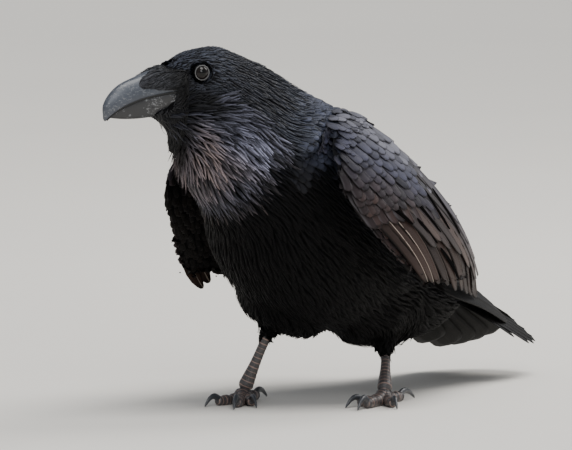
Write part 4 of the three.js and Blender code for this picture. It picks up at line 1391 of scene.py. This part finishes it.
def makeEye(side, node, finish, lidFinish):
    out = (headLeft * side + headForward * 0.12).normalized()
    middle = middleOf(node) - out * eye["sunk"] * mm
    form = bmesh.new()
    turn = out.to_track_quat("Z", "Y").to_matrix().to_4x4()
    bmesh.ops.create_uvsphere(form, u_segments=40, v_segments=24, radius=eye["radius"] * mm)
    for vert in form.verts:
        if vert.co.z > 0:
            vert.co.z *= 1 + 0.05 * (1 - vert.co.xy.length / (eye["radius"] * mm))
    gaze = [v.co.xy.length / (5.6 * mm) if v.co.z > 0 else 1.0 for v in form.verts]
    bmesh.ops.transform(form, matrix=Matrix.Translation(middle) @ turn, verts=form.verts)
    mesh = meshOf(form, node + "_ball")
    mesh.attributes.new("gaze", "FLOAT", "POINT").data.foreach_set("value", gaze)
    finishPiece(mesh, node + "_ball", finish, [node])
    form = bmesh.new()
    ring = bmesh.ops.create_circle(form, segments=10, radius=eye["lidThick"] * mm)["verts"]
    lift = Matrix.Translation((eye["lidRadius"] * mm, 0, eye["lidLift"] * mm))
    bmesh.ops.transform(form, matrix=lift @ Matrix.Rotation(math.pi / 2, 4, "X"), verts=ring)
    bmesh.ops.spin(form, geom=list(form.verts) + list(form.edges), cent=(0, 0, 0), axis=(0, 0, 1),
                   angle=2 * math.pi, steps=eye["beads"] * 4, use_merge=True)
    bmesh.ops.remove_doubles(form, verts=form.verts, dist=0.001 * mm)
    bmesh.ops.recalc_face_normals(form, faces=form.faces)
    for vert in form.verts:
        angle = math.atan2(vert.co.y, vert.co.x)
        bead = 1 + 0.3 * math.sin(angle * eye["beads"])
        radial = Vector((math.cos(angle), math.sin(angle), 0)) * eye["lidRadius"] * mm
        core = radial + Vector((0, 0, eye["lidLift"] * mm))
        vert.co = core + (vert.co - core) * bead
    bmesh.ops.transform(form, matrix=Matrix.Translation(middle) @ turn, verts=form.verts)
    finishPiece(meshOf(form, node + "_lid"), node + "_lid", lidFinish)


def lidFinish():
    finish = Finish("beaded eyelid", Roughness=0.5)
    grain = finish.noise(objectPlace(finish), 900)
    finish.set(Base_Color=finish.mix(grain, (0.012, 0.012, 0.014), (0.17, 0.165, 0.165)))
    return finish.material


print("eyes")
wetEye, beadedLid = eyeFinish(), lidFinish()
makeEye(1, "eye_left", wetEye, beadedLid)
makeEye(-1, "eye_right", wetEye, beadedLid)

print("mouth line shadow")
makeMouthShadow()

leg = {
    "shank": [4.4, 3.9, 3.8, 4.3, 5.5, 6.8], "shankRings": 96, "sides": 20, "scutes": 14,
    "toeRings": 56, "clawRings": 20, "clawSides": 12, "rest": 0.86,
}
toes = {
    "inner": {"bearing": -20, "reach": 31, "radius": 4.5, "claw": 18, "arch": 6, "scutes": 7},
    "middle": {"bearing": 0, "reach": 42, "radius": 4.9, "claw": 20, "arch": 7, "scutes": 10},
    "outer": {"bearing": 33, "reach": 33, "radius": 4.4, "claw": 16, "arch": 6, "scutes": 8},
    "hind": {"bearing": 180, "reach": 27, "radius": 4.6, "claw": 23, "arch": 5, "scutes": 6},
}


def scaleStep(place, count):  # each scale is proud at its lower end and dips under the next
    return (place * count) % 1.0


def legFinish():
    finish = Finish("scaly leg", Specular_IOR_Level=0.55)
    place = objectPlace(finish)
    step = finish.add("ShaderNodeAttribute", {"attribute_name": "plate"}, None, 2)
    sockets = {"Vector": place, "Scale": 620}
    cells = finish.add("ShaderNodeTexVoronoi", {"feature": "DISTANCE_TO_EDGE"}, sockets)
    grain = finish.noise(place, 420)
    colour = finish.mix(grain, (0.008, 0.008, 0.010), (0.095, 0.090, 0.092))
    colour = finish.mix((cells < 0.06) * 0.5, colour, (0.12, 0.095, 0.085))
    seam = (step + grain * 0.25 > 0.9) * 0.9
    colour = finish.mix(seam, colour, (0.30, 0.20, 0.165))
    finish.set(Base_Color=colour, Roughness=0.3 + 0.25 * grain)
    finish.bump(cells, 0.0004, 0.7)
    return finish.material


def plateMesh(form, name, plates):
    mesh = meshOf(form, name)
    mesh.attributes.new("plate", "FLOAT", "POINT").data.foreach_set("value", plates)
    return mesh


def clawSize(radius):
    def size(share, _):
        return radius * 0.62 * (1 - share) ** 0.75 + 0.22

    return size


def toeSize(toe):
    def size(share, angle):
        pad = 1 + 0.1 * math.cos(2 * math.pi * 3 * share)
        end = math.sqrt(max(0.06, 1 - max(0.0, (share - 0.9) / 0.1) ** 2))
        top = max(0.0, math.sin(angle))
        plate = 1 + 0.07 * scaleStep(share, toe["scutes"]) * top
        return toe["radius"] * (1.05 - 0.2 * share) * pad * end * plate

    return size


def makeLeg(side, place, scaly, horn):
    sign = 1 if side == "left" else -1
    ankle, foot = Vector(place["ankle"]), Vector(place["foot"])

    def shankSize(share, angle):
        base = smoothRun(leg["shank"], [share])[0, 0]
        front = max(0.0, math.sin(angle + math.pi))  # the plates are on the front of the shank
        base *= math.sqrt(max(0.2, 1 - max(0.0, (share - 0.88) / 0.12) ** 2))
        return base * (0.97 + 0.09 * scaleStep(share, leg["scutes"]) * front)

    line = [bird(*ankle), bird(*((ankle + foot) / 2)), bird(*foot)]
    form = limb(line, leg["shankRings"], leg["sides"], shankSize)
    plates = np.repeat(scaleStep(np.linspace(0, 1, leg["shankRings"]), leg["scutes"]), leg["sides"])
    mesh = plateMesh(form, "shank_" + side, plates)
    finishPiece(mesh, "tarsus_" + side, scaly, ["shank_" + side])
    for name, toe in toes.items():
        bearing = math.radians(place["hind"] if name == "hind" else place["toes"] + sign * toe["bearing"])
        way = Vector((math.sin(bearing), -math.cos(bearing), 0))
        makeToe(f"{name}_{side}", toe, foot, way, scaly, horn)


def makeToe(name, toe, foot, way, scaly, horn):
    radius, reach, claw, arch = toe["radius"], toe["reach"], toe["claw"], toe["arch"]
    rest = Vector((foot.x, foot.y, radius * leg["rest"]))
    start = Vector((foot.x, foot.y, foot.z - 2.5)) + way * 3
    line = [bird(*start)] + [bird(*(rest + way * reach * part)) for part in (0.36, 0.68, 1)]
    form = limb(line, leg["toeRings"], leg["sides"], toeSize(toe), (0, 0, -1))
    floor = bird(0, 0, 0.02).z
    for vert in form.verts:
        vert.co.z = max(vert.co.z, floor)
    plates = np.repeat(scaleStep(np.linspace(0, 1, leg["toeRings"]), toe["scutes"]), leg["sides"])
    mesh = plateMesh(form, "toe_" + name, plates)
    finishPiece(mesh, "scaled_toe_" + name, scaly, ["toe_" + name])
    end = Vector((foot.x, foot.y, 0)) + way * reach
    curve = [
        (-3.2, radius * 1.15), (claw * 0.18, radius * 1.25 + arch * 0.45),
        (claw * 0.52, radius * 0.9 + arch * 0.5), (claw * 0.8, radius * 0.55 + arch * 0.1), (claw * 0.93, 0.6),
    ]
    line = [bird(*(end + way * forward + up * high)) for forward, high in curve]
    form = limb(line, leg["clawRings"], leg["clawSides"], clawSize(radius), (0, 0, -1), 0.8)
    finishPiece(meshOf(form, "claw_" + name), "horn_claw_" + name, horn, ["claw_" + name])


print("legs")
scalyLeg = legFinish()
clawHorn = hornFinish("claw horn", (0.022, 0.024, 0.028), (0.06, 0.065, 0.075), 0.25)
for legSide, legPlaces in legs.items():
    makeLeg(legSide, legPlaces, scalyLeg, clawHorn)

view = {
    "bearing": 33, "elevation": 5, "distance": 9, "target": (0, -41, 147),
    "width": 572 * 0.8 * mm,  # what the picture's width takes in, at the bird
}
studio = {
    "floor": 40, "floorColour": (0.80, 0.77, 0.71), "otherColour": (0.74, 0.71, 0.66),
    "skyColour": (0.82, 0.86, 0.92, 1), "sky": 0.45,
}
lamps = {
    "high sun": {
        "kind": "SUN", "place": (900, -500, 2600), "power": 2.4, "softness": 35, "colour": (1.0, 0.99, 0.97),
    },
    "front panel": {
        "kind": "AREA", "place": (1500, -1900, 1500), "power": 22, "size": 1.2, "colour": (0.95, 0.97, 1.0),
    },
    "back panel": {
        "kind": "AREA", "place": (700, 1900, 1900), "power": 45, "size": 1.6, "colour": (1.0, 0.98, 0.96),
    },
}


def makeFloor():
    form = bmesh.new()
    bmesh.ops.create_circle(form, cap_ends=True, segments=64, radius=studio["floor"])
    finish = Finish("pale floor", Roughness=0.9, Specular_IOR_Level=0.1)
    grain = finish.noise(objectPlace(finish), 1.5)
    finish.set(Base_Color=finish.mix(grain, studio["floorColour"], studio["otherColour"]))
    mesh = meshOf(form, "floor")
    mesh.materials.append(finish.material)
    floor = bpy.data.objects.new("floor", mesh)
    bpy.context.scene.collection.objects.link(floor)


def makeLamp(name, lamp, target):
    light = bpy.data.lights.new(name, lamp["kind"])
    light.energy, light.color = lamp["power"], lamp["colour"]
    if lamp["kind"] == "SUN":
        light.angle = math.radians(lamp["softness"])
    else:
        light.shape, light.size = "DISK", lamp["size"]
    piece = bpy.data.objects.new(name, light)
    bpy.context.scene.collection.objects.link(piece)
    piece.location = bird(*lamp["place"])
    piece.rotation_euler = (target - piece.location).to_track_quat("-Z", "Y").to_euler()


def makeCamera():
    data = bpy.data.cameras.new("camera")
    bearing, elevation = math.radians(view["bearing"]), math.radians(view["elevation"])
    level = Vector((-math.sin(bearing), math.cos(bearing), 0))
    way = level * math.cos(elevation) - up * math.sin(elevation)
    data.lens = data.sensor_width * view["distance"] / view["width"]
    data.clip_end = 60
    camera = bpy.data.objects.new("camera", data)
    bpy.context.scene.collection.objects.link(camera)
    camera.location = bird(*view["target"]) - way * view["distance"]
    camera.rotation_euler = way.to_track_quat("-Z", "Y").to_euler()
    bpy.context.scene.camera = camera


print("floor, light and camera")
makeFloor()
for lampName, lamp in lamps.items():
    makeLamp(lampName, lamp, bird(*view["target"]))
makeCamera()
world = bpy.data.worlds.new("studio")
world.use_nodes = True
sky = world.node_tree.nodes["Background"].inputs
sky["Color"].default_value = studio["skyColour"]
sky["Strength"].default_value = studio["sky"]
bpy.context.scene.world = world

meshes = [o.data for o in bpy.data.objects if o.type == "MESH"]
triangles = sum(len(face.vertices) - 2 for mesh in meshes for face in mesh.polygons)
print(f"{triangles} triangles")
